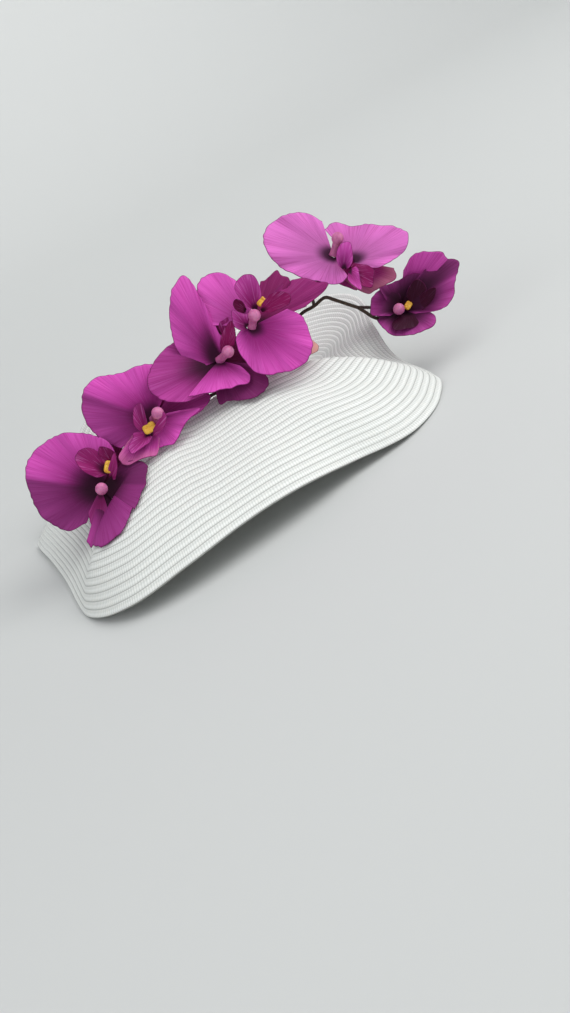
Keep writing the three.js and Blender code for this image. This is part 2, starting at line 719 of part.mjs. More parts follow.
function columnSolid(bloom, matrix, grow) {
  const stalk = COLUMN_RADIUS + grow;
  const knob = KNOB_RADIUS + grow;
  const axis = new THREE.Vector3(...bloom.knob);
  const centre = axis.length();
  const neck = Math.asin(stalk / knob);
  const seat = HUB_RADIUS + GAP - grow;
  const profile = [new THREE.Vector2(0, seat), new THREE.Vector2(stalk, seat)];
  for (let step = 0; step < KNOB_STEPS; step += 1) {
    const angle = neck + (Math.PI - neck) * (step / KNOB_STEPS);
    profile.push(new THREE.Vector2(knob * Math.sin(angle), centre - knob * Math.cos(angle)));
  }
  profile.push(new THREE.Vector2(0, centre + knob));
  const geometry = new THREE.LatheGeometry(profile, TURNED_SIDES);
  geometry.applyQuaternion(new THREE.Quaternion().setFromUnitVectors(Y_AXIS, axis.normalize()));
  geometry.applyMatrix4(matrix);
  return solidOf(geometry);
}

function callusSolid(bloom, matrix, grow) {
  const { place, turn, size } = bloom.callus;
  const geometry = new THREE.IcosahedronGeometry(1, BALL_DETAIL);
  geometry.scale(size[0] + grow, size[1] + grow, CALLUS_HALF_HEIGHT + grow);
  geometry.rotateZ(radians(turn));
  geometry.translate(...place);
  geometry.applyMatrix4(matrix);
  return solidOf(geometry);
}

function tubeSolid(points, steps, radius) {
  const route = new THREE.CatmullRomCurve3(points.map((p) => new THREE.Vector3(p.x, p.y, p.z)));
  const section = new THREE.Shape();
  for (let side = 0; side < STEM_SIDES; side += 1) {
    const angle = (2 * Math.PI * side) / STEM_SIDES;
    const x = radius * Math.cos(angle);
    const y = radius * Math.sin(angle);
    if (side === 0) section.moveTo(x, y);
    else section.lineTo(x, y);
  }
  return solidOf(new THREE.ExtrudeGeometry(section, { extrudePath: route, steps, bevelEnabled: false }));
}

// Middle line of the stem where it lies on the crest
function stemOnCrest({ turn, part }) {
  const point = basePoint(turn, part);
  return point.setZ(point.z + STEM_RADIUS + 2 * GAP);
}

// The wire and its stalks. The room that they take is round past the end of each stalk.
function stemSolid(grow) {
  const radius = STEM_RADIUS + grow;
  const main = [...STEM_ON_CREST.map(stemOnCrest), ...STEM_FREE];
  const tubes = [tubeSolid(main, STEM_STEPS, radius), tubeSolid(STEM_FORK, STALK_STEPS, radius)];
  for (const stalk of STALKS) {
    const bloom = BLOOMS.find(({ name }) => name === stalk.bloom);
    const end = new THREE.Vector3(0, 0, -HUB_RADIUS - GAP).applyMatrix4(bloomMatrix(bloom));
    tubes.push(tubeSolid([stalk.from ?? stemOnCrest(stalk), stalk.via, end], STALK_STEPS, radius));
    if (grow > 0) tubes.push(ball(radius, end));
  }
  return wasm.Manifold.union(tubes);
}

function combSolid() {
  const pitch = (COMB.width - COMB_TOOTH.width) / (COMB.teeth - 1);
  let solid = solidOf(new THREE.BoxGeometry(COMB.width, COMB.depth, COMB.thick));
  for (let index = 0; index < COMB.teeth; index += 1) {
    const tooth = new THREE.BoxGeometry(COMB_TOOTH.width, COMB_TOOTH.length + 1, COMB_TOOTH.thick);
    const x = -0.5 * (COMB.width - COMB_TOOTH.width) + index * pitch;
    tooth.translate(x, -0.5 * (COMB.depth + COMB_TOOTH.length - 1), 0);
    solid = solid.add(solidOf(tooth));
  }
  return solid;
}

// The comb in its place under the braid: it is lowered until it clears the under skin by the gap
function placedComb(braid) {
  const turned = combSolid().transform(new THREE.Matrix4().makeRotationX(radians(COMB.slope)).toArray());
  let height = braidHeight(COMB.x, COMB.y);
  while (turned.translate([COMB.x, COMB.y, height]).intersect(braid).volume() > 0) height -= COMB_LOWER_STEP;
  return turned.translate([COMB.x, COMB.y, height - 0.5 * GAP]);
}

function near(first, second) {
  const a = first.boundingBox();
  const b = second.boundingBox();
  return [0, 1, 2].every((axis) => a.min[axis] - 1 < b.max[axis] && b.min[axis] - 1 < a.max[axis]);
}

// Every piece as a solid. Those that others give way to come first, and each later piece is cut back
// by the room that the earlier ones take.
const pieces = [];
function addPiece(name, build, look) {
  let solid = build(0);
  for (const other of pieces) {
    if (near(solid, other.room)) solid = solid.subtract(other.room);
  }
  const kept = largest(solid.simplify(SIMPLER));
  pieces.push({ name, solid: kept, room: build(ROOM).add(kept), look });
}

addPiece('braid_base', (grow) => solidOf(braidGeometry(grow)), STRAW);
addPiece('comb', () => placedComb(pieces[0].solid), COMB_PLASTIC);
addPiece('stem', stemSolid, WIRE);
const frames = BLOOMS.map((bloom) => ({ bloom, matrix: bloomMatrix(bloom) }));
for (const { bloom, matrix } of frames) {
  addPiece(`${bloom.name}_column`, (grow) => columnSolid(bloom, matrix, grow), COLUMN);
}
for (const { bloom, matrix } of frames) {
  addPiece(`${bloom.name}_callus`, (grow) => callusSolid(bloom, matrix, grow), CALLUS);
  addPiece(`${bloom.name}_lip`, (grow) => silkSolid(bloom, 'lip', matrix, grow), LIP);
}
for (const { bloom, matrix } of frames) {
  for (const piece of ['left_petal', 'right_petal']) {
    addPiece(`${bloom.name}_${piece}`, (grow) => silkSolid(bloom, piece, matrix, grow), PETAL);
  }
}
for (const { bloom, matrix } of frames) {
  addPiece(`${bloom.name}_sepals`, (grow) => silkSolid(bloom, 'sepals', matrix, grow), SEPAL);
}

const group = new THREE.Group();
group.position.set(-ORIGIN.x, -ORIGIN.y, -ORIGIN.z);
for (const { name, solid, look } of pieces) group.add(named(name, geometryOf(solid), look));
export default group;
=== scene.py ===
# %% [markdown]
# # A fascinator in Blender
# A fascinator is a small party hat. This one is a wavy oval of sewn straw braid that carries a spray
# of six silk orchids. The solid model comes first, as a fixed frame: its pieces say where everything
# goes. Each piece below is then built again as a fine mesh in the same place, and the plain solid is
# hidden behind it.

# %% Load the frame
import math
from dataclasses import dataclass

import bpy
import numpy as np
from mathutils import Matrix, Vector


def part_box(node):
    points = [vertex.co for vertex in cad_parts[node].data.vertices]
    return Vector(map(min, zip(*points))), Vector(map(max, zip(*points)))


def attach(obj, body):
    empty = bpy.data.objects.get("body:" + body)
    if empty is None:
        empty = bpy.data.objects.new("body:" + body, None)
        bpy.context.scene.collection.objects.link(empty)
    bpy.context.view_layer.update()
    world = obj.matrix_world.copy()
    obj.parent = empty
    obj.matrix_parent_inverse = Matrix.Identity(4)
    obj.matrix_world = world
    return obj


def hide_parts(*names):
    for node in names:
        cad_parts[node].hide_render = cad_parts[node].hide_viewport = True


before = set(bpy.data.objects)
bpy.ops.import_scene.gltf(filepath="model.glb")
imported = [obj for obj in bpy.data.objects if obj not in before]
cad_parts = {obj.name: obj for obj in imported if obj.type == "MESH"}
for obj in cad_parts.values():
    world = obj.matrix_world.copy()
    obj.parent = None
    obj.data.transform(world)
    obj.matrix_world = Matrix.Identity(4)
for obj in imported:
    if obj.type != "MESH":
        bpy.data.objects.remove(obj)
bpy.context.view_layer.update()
MM = 0.001
# The tables below are drawn from a point near the middle of the braid, in millimetres. This is the
# place of the frame's own origin in the drawing.
ORIGIN = np.array([23.7, 12.2, -1.4])
print("pieces in the frame:", len(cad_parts))

# %% [markdown]
# ## Helpers for shader maths
# A material in Blender is a graph of nodes. Writing `1 - mask` is easier to read than adding a Math
# node, setting it to Subtract and linking it, so a small class wraps one socket and turns Python's
# operators into those nodes. Every other node comes from one method, `Board.node`.

# %% Shader maths as expressions
# The Mix node has its colour sockets behind those for numbers and vectors
MIX_FIRST, MIX_SECOND, MIX_RESULT = 6, 7, 2


class Flow:
    """One value on its way through a material's nodes."""

    def __init__(self, board, socket):
        self.board = board
        self.socket = socket

    def __add__(self, other):
        return self.board.math("ADD", self, other)

    def __sub__(self, other):
        return self.board.math("SUBTRACT", self, other)

    def __rsub__(self, other):
        return self.board.math("SUBTRACT", other, self)

    def __mul__(self, other):
        return self.board.math("MULTIPLY", self, other)

    def __truediv__(self, other):
        return self.board.math("DIVIDE", self, other)

    __radd__ = __add__
    __rmul__ = __mul__


class Board:
    """A material under construction, with its Principled shader."""

    def __init__(self, name, **constants):
        self.material = bpy.data.materials.new(name)
        self.material.use_nodes = True
        self.tree = self.material.node_tree
        self.shader = self.tree.nodes["Principled BSDF"]
        for socket, value in constants.items():
            self.shader.inputs[socket.replace("_", " ")].default_value = value

    def node(self, kind, settings=None, sockets=None, out=0):
        """A node of any kind: first its settings, then the values or links of its sockets."""
        made = self.tree.nodes.new(kind)
        for key, value in (settings or {}).items():
            setattr(made, key, value)
        for key, value in (sockets or {}).items():
            self.feed(made.inputs[key], value)
        return Flow(self, made.outputs[out])

    def feed(self, socket, value):
        if isinstance(value, Flow):
            self.tree.links.new(value.socket, socket)
        else:
            socket.default_value = value

    def math(self, operation, first, second=0.0):
        return self.node("ShaderNodeMath", {"operation": operation}, {0: first, 1: second})

    def sine(self, value):
        return self.math("SINE", value)

    def mix(self, factor, first, second):
        sockets = {0: factor, MIX_FIRST: first, MIX_SECOND: second}
        return self.node("ShaderNodeMix", {"data_type": "RGBA"}, sockets, out=MIX_RESULT)

    def ramp(self, value, low, high, start=0.0, end=1.0):
        """From start where the value is low to end where it is high, eased at both."""
        sockets = {"Value": value, "From Min": low, "From Max": high, "To Min": start, "To Max": end}
        return self.node("ShaderNodeMapRange", {"interpolation_type": "SMOOTHSTEP"}, sockets)

    def noise(self, vector, scale=1.0, detail=2.0):
        return self.node("ShaderNodeTexNoise", {}, {"Vector": vector, "Scale": scale, "Detail": detail})

    def join(self, x, y, z=0.0):
        return self.node("ShaderNodeCombineXYZ", {}, {0: x, 1: y, 2: z})

    def split(self, name):
        """The three numbers that a mesh stores under a name."""
        vector = self.node("ShaderNodeAttribute", {"attribute_name": name}, out="Vector")
        return [self.node("ShaderNodeSeparateXYZ", {}, {0: vector}, out=part) for part in "XYZ"]

    def place(self):
        """Where a point lies on the piece, in metres."""
        return self.node("ShaderNodeTexCoord", out="Object")

    def place_part(self, axis):
        """How far along X, Y or Z that is."""
        return self.node("ShaderNodeSeparateXYZ", {}, {0: self.place()}, out=axis)

    def paint(self, socket, value):
        self.feed(self.shader.inputs[socket], value)

    def bump(self, height, depth, strength):
        sockets = {"Height": height, "Distance": depth, "Strength": strength}
        self.paint("Normal", self.node("ShaderNodeBump", {}, sockets))


def paint_colour(red, green, blue):
    """A colour from the 0 to 255 numbers of a picture to the linear numbers of a shader."""
    shares = [channel / 255 for channel in (red, green, blue)]
    linear = [share / 12.92 if share <= 0.04045 else ((share + 0.055) / 1.055) ** 2.4 for share in shares]
    return (*linear, 1.0)


print("mid grey in linear light:", [round(channel, 3) for channel in paint_colour(128, 128, 128)])

# %% [markdown]
# ## The form of the braid
# The hat body is one oval, steamed over a block into a wave: a ridge along its length, a slope to the
# front rim, a valley behind the ridge and a back that turns up. A short table of sections around the
# centre gives that wave. Each row says how far the rim lies out in that direction, and the heights at
# one third, at two thirds and at the rim. Cubic curves join the rows, apart from those marked as a
# fold, which stay sharp. Where the mark is 2 the rim has a corner there as well.

# %% Sections of the braid
BASE_CENTRE = np.array([-12.0, 12.0])
BASE_TOP = 66.0
NO_BRAID = -1000.0
PAST_RIM = 1.02
SECTION_COLUMNS = ("turn", "reach", "near", "far", "rim", "fold")
SECTIONS = np.array([
    (2, 166, 50, 40, 22, 0),
    (9, 165, 44, 40, 45, 0),
    (21, 180, 38, 38, 59, 0),
    (45, 166, 33, 36, 66, 0),
    (68, 140, 30, 36, 70, 0),
    (90, 127, 30, 36, 72, 0),
    (112, 122, 30, 36, 72, 0),
    (133, 121, 32, 36, 68, 0),
    (144, 146, 36, 32, 42, 0),
    (153, 170, 44, 30, 18, 0),
    (157, 169, 54, 36, 6, 0),
    (160, 178, 62, 42, 2, 2),
    (172, 157, 58, 39, 3, 0),
    (184, 146, 53, 34, 3, 0),
    (198, 144, 52, 32, 2, 0),
    (208, 149, 54, 36, 1, 0),
    (216, 155, 58, 45, 0, 1),
    (225, 157, 55, 42, 4, 0),
    (235, 154, 55, 41, 10, 0),
    (252, 137, 54, 41, 19, 0),
    (270, 123, 54, 42, 23, 0),
    (295, 122, 55, 43, 21, 0),
    (315, 132, 57, 43, 10, 0),
    (332, 163, 58, 43, 1, 0),
    (345, 180, 60, 42, 0, 0),
    (355, 184, 66, 51, 2, 1),
], dtype=float)


def section_value(column, turn):
    """One column of the table at any turn, cubic between rows and broken at the folds."""
    values = SECTIONS[:, SECTION_COLUMNS.index(column)]
    turns = SECTIONS[:, SECTION_COLUMNS.index("turn")]
    folds = SECTIONS[:, SECTION_COLUMNS.index("fold")]
    gap_after = np.roll(turns, -1) - turns
    gap_after[-1] += 360
    gap_before = np.roll(gap_after, 1)
    rise = (np.roll(values, -1) - values) / gap_after
    fall = np.roll(rise, 1)
    smooth = (fall * gap_after + rise * gap_before) / (gap_after + gap_before)
    broken = folds > (1 if column == "reach" else 0)
    leaving = np.where(broken, rise, smooth)
    arriving = np.where(broken, fall, smooth)
    wanted = np.mod(turn - turns[0], 360) + turns[0]
    first = np.clip(np.searchsorted(turns, wanted, side="right") - 1, 0, len(turns) - 1)
    second = (first + 1) % len(turns)
    span = gap_after[first]
    u = (wanted - turns[first]) / span
    return ((2 * u**3 - 3 * u**2 + 1) * values[first] + (u**3 - 2 * u**2 + u) * span * leaving[first]
            + (3 * u**2 - 2 * u**3) * values[second] + (u**3 - u**2) * span * arriving[second])


def section_height(turn, part):
    """Height of the top face a part of the way out: a cubic through the four heights of a section."""
    near, far, rim = (section_value(name, turn) for name in ("near", "far", "rim"))
    return (BASE_TOP * (1 - 3 * part) * (1 - 1.5 * part) * (1 - part)
            + near * 9 * part * (1 - 1.5 * part) * (1 - part)
            + far * 4.5 * part * (3 * part - 1) * (1 - part)
            + rim * 0.5 * part * (3 * part - 1) * (3 * part - 2))


def braid_height(x, y):
    """Height of the braid under points of the drawing, far below where there is none."""
    turn = np.degrees(np.arctan2(y - BASE_CENTRE[1], x - BASE_CENTRE[0]))
    part = np.hypot(x - BASE_CENTRE[0], y - BASE_CENTRE[1]) / section_value("reach", turn)
    height = section_height(turn, np.minimum(part, 1.0))
    return np.where(part > PAST_RIM, NO_BRAID, height)


print("height of the front rim:", round(float(section_height(np.array(270.0), np.array(1.0))), 1), "mm")

# %% [markdown]
# ## Meshes from grids
# Almost everything here is a thin sheet: the braid, the petals and the lips. A grid of points is the
# simplest way to draw a sheet, and numpy works on the whole grid at once. `Shape` collects such sheets,
# gives them their thickness and keeps the numbers that the materials read.

# %% Normals and smooth lines
STRETCH_STEPS = 12
LEAST_POINTS = 8


def grid_normals(grid, around=False):
    """Unit normals of a grid of points, rows by columns by three."""
    padded = np.concatenate([grid[:, -1:], grid, grid[:, :1]], axis=1) if around else grid
    down = np.gradient(padded, axis=0)
    across = np.gradient(padded, axis=1)
    if around:
        down, across = down[:, 1:-1], across[:, 1:-1]
    normal = np.cross(down, across)
    length = np.linalg.norm(normal, axis=2, keepdims=True)
    return normal / np.maximum(length, 1e-9)


def smooth_line(points, spacing):
    """A Catmull-Rom curve through the points, evenly spaced, with the distance walked along it."""
    points = np.array(points, dtype=float)
    padded = np.concatenate([[2 * points[0] - points[1]], points, [2 * points[-1] - points[-2]]])
    line = []
    u = np.linspace(0, 1, STRETCH_STEPS, endpoint=False)[:, None]
    for k in range(len(points) - 1):
        before, first, second, after = padded[k:k + 4]
        line.append(first + 0.5 * ((second - before) * u
                                   + (2 * before - 5 * first + 4 * second - after) * u**2
                                   + (3 * first - before - 3 * second + after) * u**3))
    line = np.concatenate([*line, points[-1:]])
    walked = np.append(0, np.cumsum(np.linalg.norm(np.diff(line, axis=0), axis=1)))
    even = np.linspace(0, walked[-1], max(int(walked[-1] / spacing), LEAST_POINTS))
    return np.stack([np.interp(even, walked, line[:, k]) for k in range(points.shape[1])], -1), even


print("a line from (0, 0) to (3, 4) measures", round(smooth_line([(0, 0), (3, 4)], 1.0)[1][-1], 3))

# %% A collector for sheets and solids
# Each corner keeps six numbers: three that place it on its piece, and three that tint it, of which the
# middle one is painted shade on silk
MARK_COUNT = 6


class Shape:
    """Points, faces and per-corner numbers of one piece, in the millimetres of the drawing."""

    def __init__(self):
        self.points = []
        self.faces = []
        self.marks = []
        self.count = 0

    def add(self, points, *blocks):
        """Points, then pairs of faces and the numbers of their corners."""
        for faces, marks in blocks:
            self.faces.append(faces + self.count)
            self.marks.append(marks)
        self.points.append(points)
        self.count += len(points)

    def add_sheet(self, grid, wall, marks):
        """A sheet with a wall thickness. marks holds the numbers of each grid point."""
        rows, columns = grid.shape[:2]
        normal = grid_normals(grid)
        points = np.concatenate([(grid + side * 0.5 * wall * normal).reshape(-1, 3) for side in (1, -1)])
        number = np.arange(rows * columns).reshape(rows, columns)
        front = np.stack([number[:-1, :-1], number[1:, :-1], number[1:, 1:], number[:-1, 1:]], -1)
        front = front.reshape(-1, 4)
        back = front[:, ::-1] + rows * columns
        edge = np.concatenate([number[:-1, 0], number[-1, :-1], number[:0:-1, -1], number[0, :0:-1]])
        following = np.roll(edge, -1)
        rim = np.stack([edge, edge + rows * columns, following + rows * columns, following], -1)
        faces = np.concatenate([front, back, rim])
        both = np.concatenate([marks.reshape(-1, MARK_COUNT)] * 2)
        self.add(points, (faces, both[faces]))

    def add_rings(self, rings, ends, along):
        """A closed solid from rings of points and two end points. Its marks: round, along."""
        rows, sides = rings.shape[:2]
        count = rows * sides
        number = np.arange(count).reshape(rows, sides)
        following = np.roll(number, -1, axis=1)
        walls = np.stack([number[:-1], following[:-1], following[1:], number[1:]], -1).reshape(-1, 4)
        spot = np.arange(sides) / sides
        corner_round = np.stack([spot, spot + 1 / sides, spot + 1 / sides, spot], -1)
        marks = np.zeros((rows - 1, sides, 4, MARK_COUNT))
        marks[..., 0] = corner_round
        marks[..., :2, 1] = along[:-1, None, None]
        marks[..., 2:, 1] = along[1:, None, None]
        first = np.stack([following[0], number[0], np.full(sides, count)], -1)
        last = np.stack([number[-1], following[-1], np.full(sides, count + 1)], -1)
        caps = np.concatenate([first, last])
        cap_marks = np.zeros((2 * sides, 3, MARK_COUNT))
        cap_marks[:sides, :, 1] = along[0]
        cap_marks[sides:, :, 1] = along[-1]
        points = np.concatenate([rings.reshape(-1, 3), ends])
        self.add(points, (walls, marks.reshape(-1, 4, MARK_COUNT)), (caps, cap_marks))

    def piece(self, name, material, slot, *replaced):
        """The finished Blender object, riding on the frame in place of its solids."""
        points = (np.concatenate(self.points) - ORIGIN) * MM
        faces = [face for block in self.faces for face in block.tolist()]
        marks = np.concatenate([block.reshape(-1, MARK_COUNT) for block in self.marks]).astype(np.float32)
        mesh = bpy.data.meshes.new(name)
        mesh.from_pydata(points.tolist(), [], faces)
        for key, numbers in (("marks", marks[:, :3]), ("tint", marks[:, 3:])):
            store = mesh.attributes.new(key, "FLOAT_VECTOR", "CORNER")
            store.data.foreach_set("vector", np.ascontiguousarray(numbers).ravel())
        mesh.polygons.foreach_set("use_smooth", np.ones(len(faces), dtype=bool))
        mesh.materials.append(material)
        mesh.update()
        made = bpy.data.objects.new(name, mesh)
        bpy.context.scene.collection.objects.link(made)
        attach(made, "root")
        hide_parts(*replaced)
        print(name, "has", sum(len(face) - 2 for face in faces), "triangles")


# %% [markdown]
# ## Straw braid
# Straw braid is a flat plait, about five millimetres wide, that is sewn in an endless oval with each
# round lapping over the last. So the rows are real steps in the mesh, one bulge and one lap for each
# round, while the plait itself is far too fine for geometry and becomes a bump of crossing strands, with
# painted shade in its hollows and painted light on its crossings. The thin shadow under each lap is
# painted as a grey line along the seam. Each corner of the mesh stores how far along its round it lies,
# counted in repeats of the plait, how far across the round, and which round it is. Slow noise starts the
# plait of each round at another place, so that no column of strands runs straight across the rows.
# Towards the turned-up back the painted seam shadows fade.

# %% Straw material
TURN = 2 * math.pi
STRANDS_ACROSS = 0.75
START_SPREAD = 4.0
BACK_DEPTH = 0.03
SEAM_FADE = 0.6
# The braid's white and warm tones, the painted shade of the plait's hollows and the painted shadow under
# each lap
STRAW_WHITE = paint_colour(246, 247, 243)
STRAW_WARM = paint_colour(240, 239, 232)
STRAW_SHADE = paint_colour(218, 220, 215)
STRAW_LAP_SHADOW = paint_colour(176, 177, 172)


def straw_material():
    """Crossing strands with a little wander, painted in shade and light, between seams of painted shadow."""
    board = Board("straw braid", Roughness=0.5, Specular_IOR_Level=0.4)
    along, across, round_number = board.split("marks")
    start = board.noise(board.join(round_number * 0.73, along * 0.06), detail=1.0)
    started = along + start * START_SPREAD
    slant = across * STRANDS_ACROSS
    left = board.sine((started + slant) * TURN)
    right = board.sine((started - slant) * TURN)
    wander = board.noise(board.join(along * 0.9, across * 2.0, round_number * 1.7))
    strand = left * right * (wander * 1.6 - 0.1)
    # Painted shadow along each seam, fading towards the back
    inside = board.ramp(across, 0.0, 0.2) * board.ramp(across, 1.0, 0.94)
    back_seam_fade = board.ramp(board.place_part("Y"), 0.0, BACK_DEPTH, 0.0, SEAM_FADE)
    # Painted shade in the hollows of the plait and painted light on its crossings
    light = board.mix(board.ramp(strand, -0.5, 0.5), STRAW_SHADE, STRAW_WHITE)
    tinted = board.mix(board.ramp(wander, 0.45, 0.75, 0.0, 0.5), light, STRAW_WARM)
    board.paint("Base Color", board.mix(inside + back_seam_fade - inside * back_seam_fade, STRAW_LAP_SHADOW, tinted))
    board.paint("Roughness", board.ramp(strand, -0.5, 0.6, 0.6, 0.3))
    board.bump(strand * inside, 0.22 * MM, 0.9)
    return board.material


straw = straw_material()
print("nodes in the straw:", len(straw.node_tree.nodes))

# %% Rays of the braid
ROUNDS = 27
AROUND = 384
RAY_STEPS = 160
# The first round is sewn along a straight middle seam
SEAM = {"x": -8.0, "y": 30.0, "half": 66.0}
SEAM_SPREAD = 1.25
# Across one round: where each ring of points lies, and how far it stands out
LAP_PLACES = (0.0, 0.1, 0.5, 0.9)
LAP_HEIGHTS = (-0.12, 0.12, 0.14, 0.08)


def seam_points(rim):
    """Where the rays start: under their rim points, and slowed towards the ends of the seam."""
    offset = (rim[:, 0] - SEAM["x"]) / (SEAM_SPREAD * SEAM["half"])
    x = SEAM["x"] + SEAM["half"] * offset / (1 + np.abs(offset) ** 3) ** (1 / 3)
    return np.stack([x, np.full(AROUND, SEAM["y"])], -1)


def on_braid(flat):
    """Flat points with the height of the braid there."""
    return np.concatenate([flat, braid_height(flat[..., 0], flat[..., 1])[..., None]], -1)


def braid_rays():
    """Ring points on rays from the middle seam to the rim, evenly spaced along the surface."""
    turns = np.linspace(0, 360, AROUND, endpoint=False)
    ahead = np.stack([np.cos(np.radians(turns)), np.sin(np.radians(turns))], -1)
    rim = BASE_CENTRE + section_value("reach", turns)[:, None] * ahead
    start = seam_points(rim)
    steps = np.linspace(0, 1, RAY_STEPS)
    line = on_braid(start[:, None] + steps[None, :, None] * (rim - start)[:, None])
    length = np.cumsum(np.linalg.norm(np.diff(line, axis=1), axis=2), axis=1)
    length = np.concatenate([np.zeros((AROUND, 1)), length], axis=1)
    rounds = np.arange(ROUNDS)[:, None] + np.array(LAP_PLACES)[None, :]
    wanted = np.append(rounds.ravel(), ROUNDS) / ROUNDS
    rings = np.stack([np.interp(wanted * length[k, -1], length[k], steps) for k in range(AROUND)], 1)
    return on_braid(start[None] + rings[..., None] * (rim - start)[None])


print("points on a ring of the braid:", AROUND)

# %% Rounds of the braid
PLAIT_REPEAT = 4.0
WALL = 1.8
LAP_BELOW = 0.6


def round_marks(middle):
    """The numbers of each face between two rings: along the plait, across the round, which round."""
    steps = np.linalg.norm(np.roll(middle, -1, axis=1) - middle, axis=2)
    walked = np.concatenate([np.zeros((len(middle), 1)), np.cumsum(steps, axis=1)], axis=1)
    blocks = []
    for ring in range(len(middle) - 1):
        which, place = divmod(ring, len(LAP_PLACES))
        centre = walked[which * len(LAP_PLACES) + LAP_PLACES.index(0.5)]
        along = centre / centre[-1] * round(centre[-1] / PLAIT_REPEAT)
        corner = np.zeros((AROUND, 4, MARK_COUNT))
        corner[:, :2, 0] = along[:-1, None]
        corner[:, 2:, 0] = along[1:, None]
        corner[:, [0, 3], 1] = LAP_PLACES[place]
        corner[:, [1, 2], 1] = (*LAP_PLACES, 1.0)[place + 1]
        corner[..., 2] = which
        blocks.append(corner)
    return np.concatenate(blocks)


def braid_shape():
    """Both faces of the braid, joined at its rim and along the middle seam."""
    middle = braid_rays()
    rings = len(middle)
    count = rings * AROUND
    normal = -grid_normals(middle, around=True)
    normal *= np.sign(normal[..., 2:])
    stands = np.append(np.tile(LAP_HEIGHTS, ROUNDS), LAP_HEIGHTS[0])[:, None, None]
    top = middle + normal * stands
    under = middle - normal * (WALL - LAP_BELOW * stands)
    number = np.arange(count).reshape(rings, AROUND)
    following = np.roll(number, -1, axis=1)
    faces = np.stack([number[:-1], number[1:], following[1:], following[:-1]], -1).reshape(-1, 4)
    marks = round_marks(middle)
    rim = np.stack([number[-1], number[-1] + count, following[-1] + count, following[-1]], -1)
    rim_marks = marks[-AROUND:, [1, 1, 2, 2]]
    seam = np.stack([number[0], following[0], following[0] + count, number[0] + count], -1)
    seam_marks = marks[:AROUND, [0, 3, 3, 0]]
    shape = Shape()
    shape.add(np.concatenate([top.reshape(-1, 3), under.reshape(-1, 3)]),
              (faces, marks), (faces[:, ::-1] + count, marks[:, ::-1]), (rim, rim_marks), (seam, seam_marks))
    return shape


braid_shape().piece("straw_braid_body", straw, "straw_braid", "braid_base")

# %% [markdown]
# ## Silk orchids
# A silk orchid is stamped from coated cloth: two broad petals, three narrower sepals behind them, and
# a small dark lip of curled lobes around a yellow callus, with the pale column above it. Each of these
# is a sheet that starts at the heart of the bloom. A petal spreads like a hand fan, so the table draws
# each sheet as one: the directions of its first and last rib, and the lengths of the ribs between.
# Then it says how the sheet rises, curls, turns and folds, how much painted shade it carries and how wavy
# its rim.

# %% Table of blooms
@dataclass
class Sheet:
    """One sheet of silk, drawn as a fan of ribs with a smooth rim through their tips.

    angle is the direction of its midline, fan is how far the first and the last rib turn from there,
    and ribs are their lengths. From its root it rises by lift, and by curl more at the tip, in degrees,
    and skew turns it about its midline. fold is the fall of the left and the right half for each
    millimetre away from the midline. wine reddens the cloth, and below zero pales it: a paler pink that is
    partly the cloth's own and partly painted light on sheets that face the lamps. salmon tints the tip.
    dark is painted shade on the two halves, for a side that turns from the light or lies in shadow, heart
    is how far out the painted shade of the heart's hollow reaches, and wave is how wavy the rim is.
    """

    piece: str
    angle: float
    fan: tuple
    ribs: tuple
    lift: float = 0.0
    curl: float = 0.0
    skew: float = 0.0
    fold: tuple = (0.1, 0.1)
    root: tuple = (0.0, 0.0, 0.9)
    wine: float = 0.0
    salmon: float = 0.0
    # Painted shade of the two halves, and how far the painted shade of the heart's hollow reaches
    dark: tuple = (0.0, 0.0)
    heart: float = 0.3
    wave: float = 1.0


@dataclass
class Bloom:
    """A bloom: the place of its heart, its knob and callus measured from there, and its sheets."""

    place: tuple
    knob: tuple
    callus: tuple
    callus_turn: float
    callus_size: tuple
    sheets: tuple
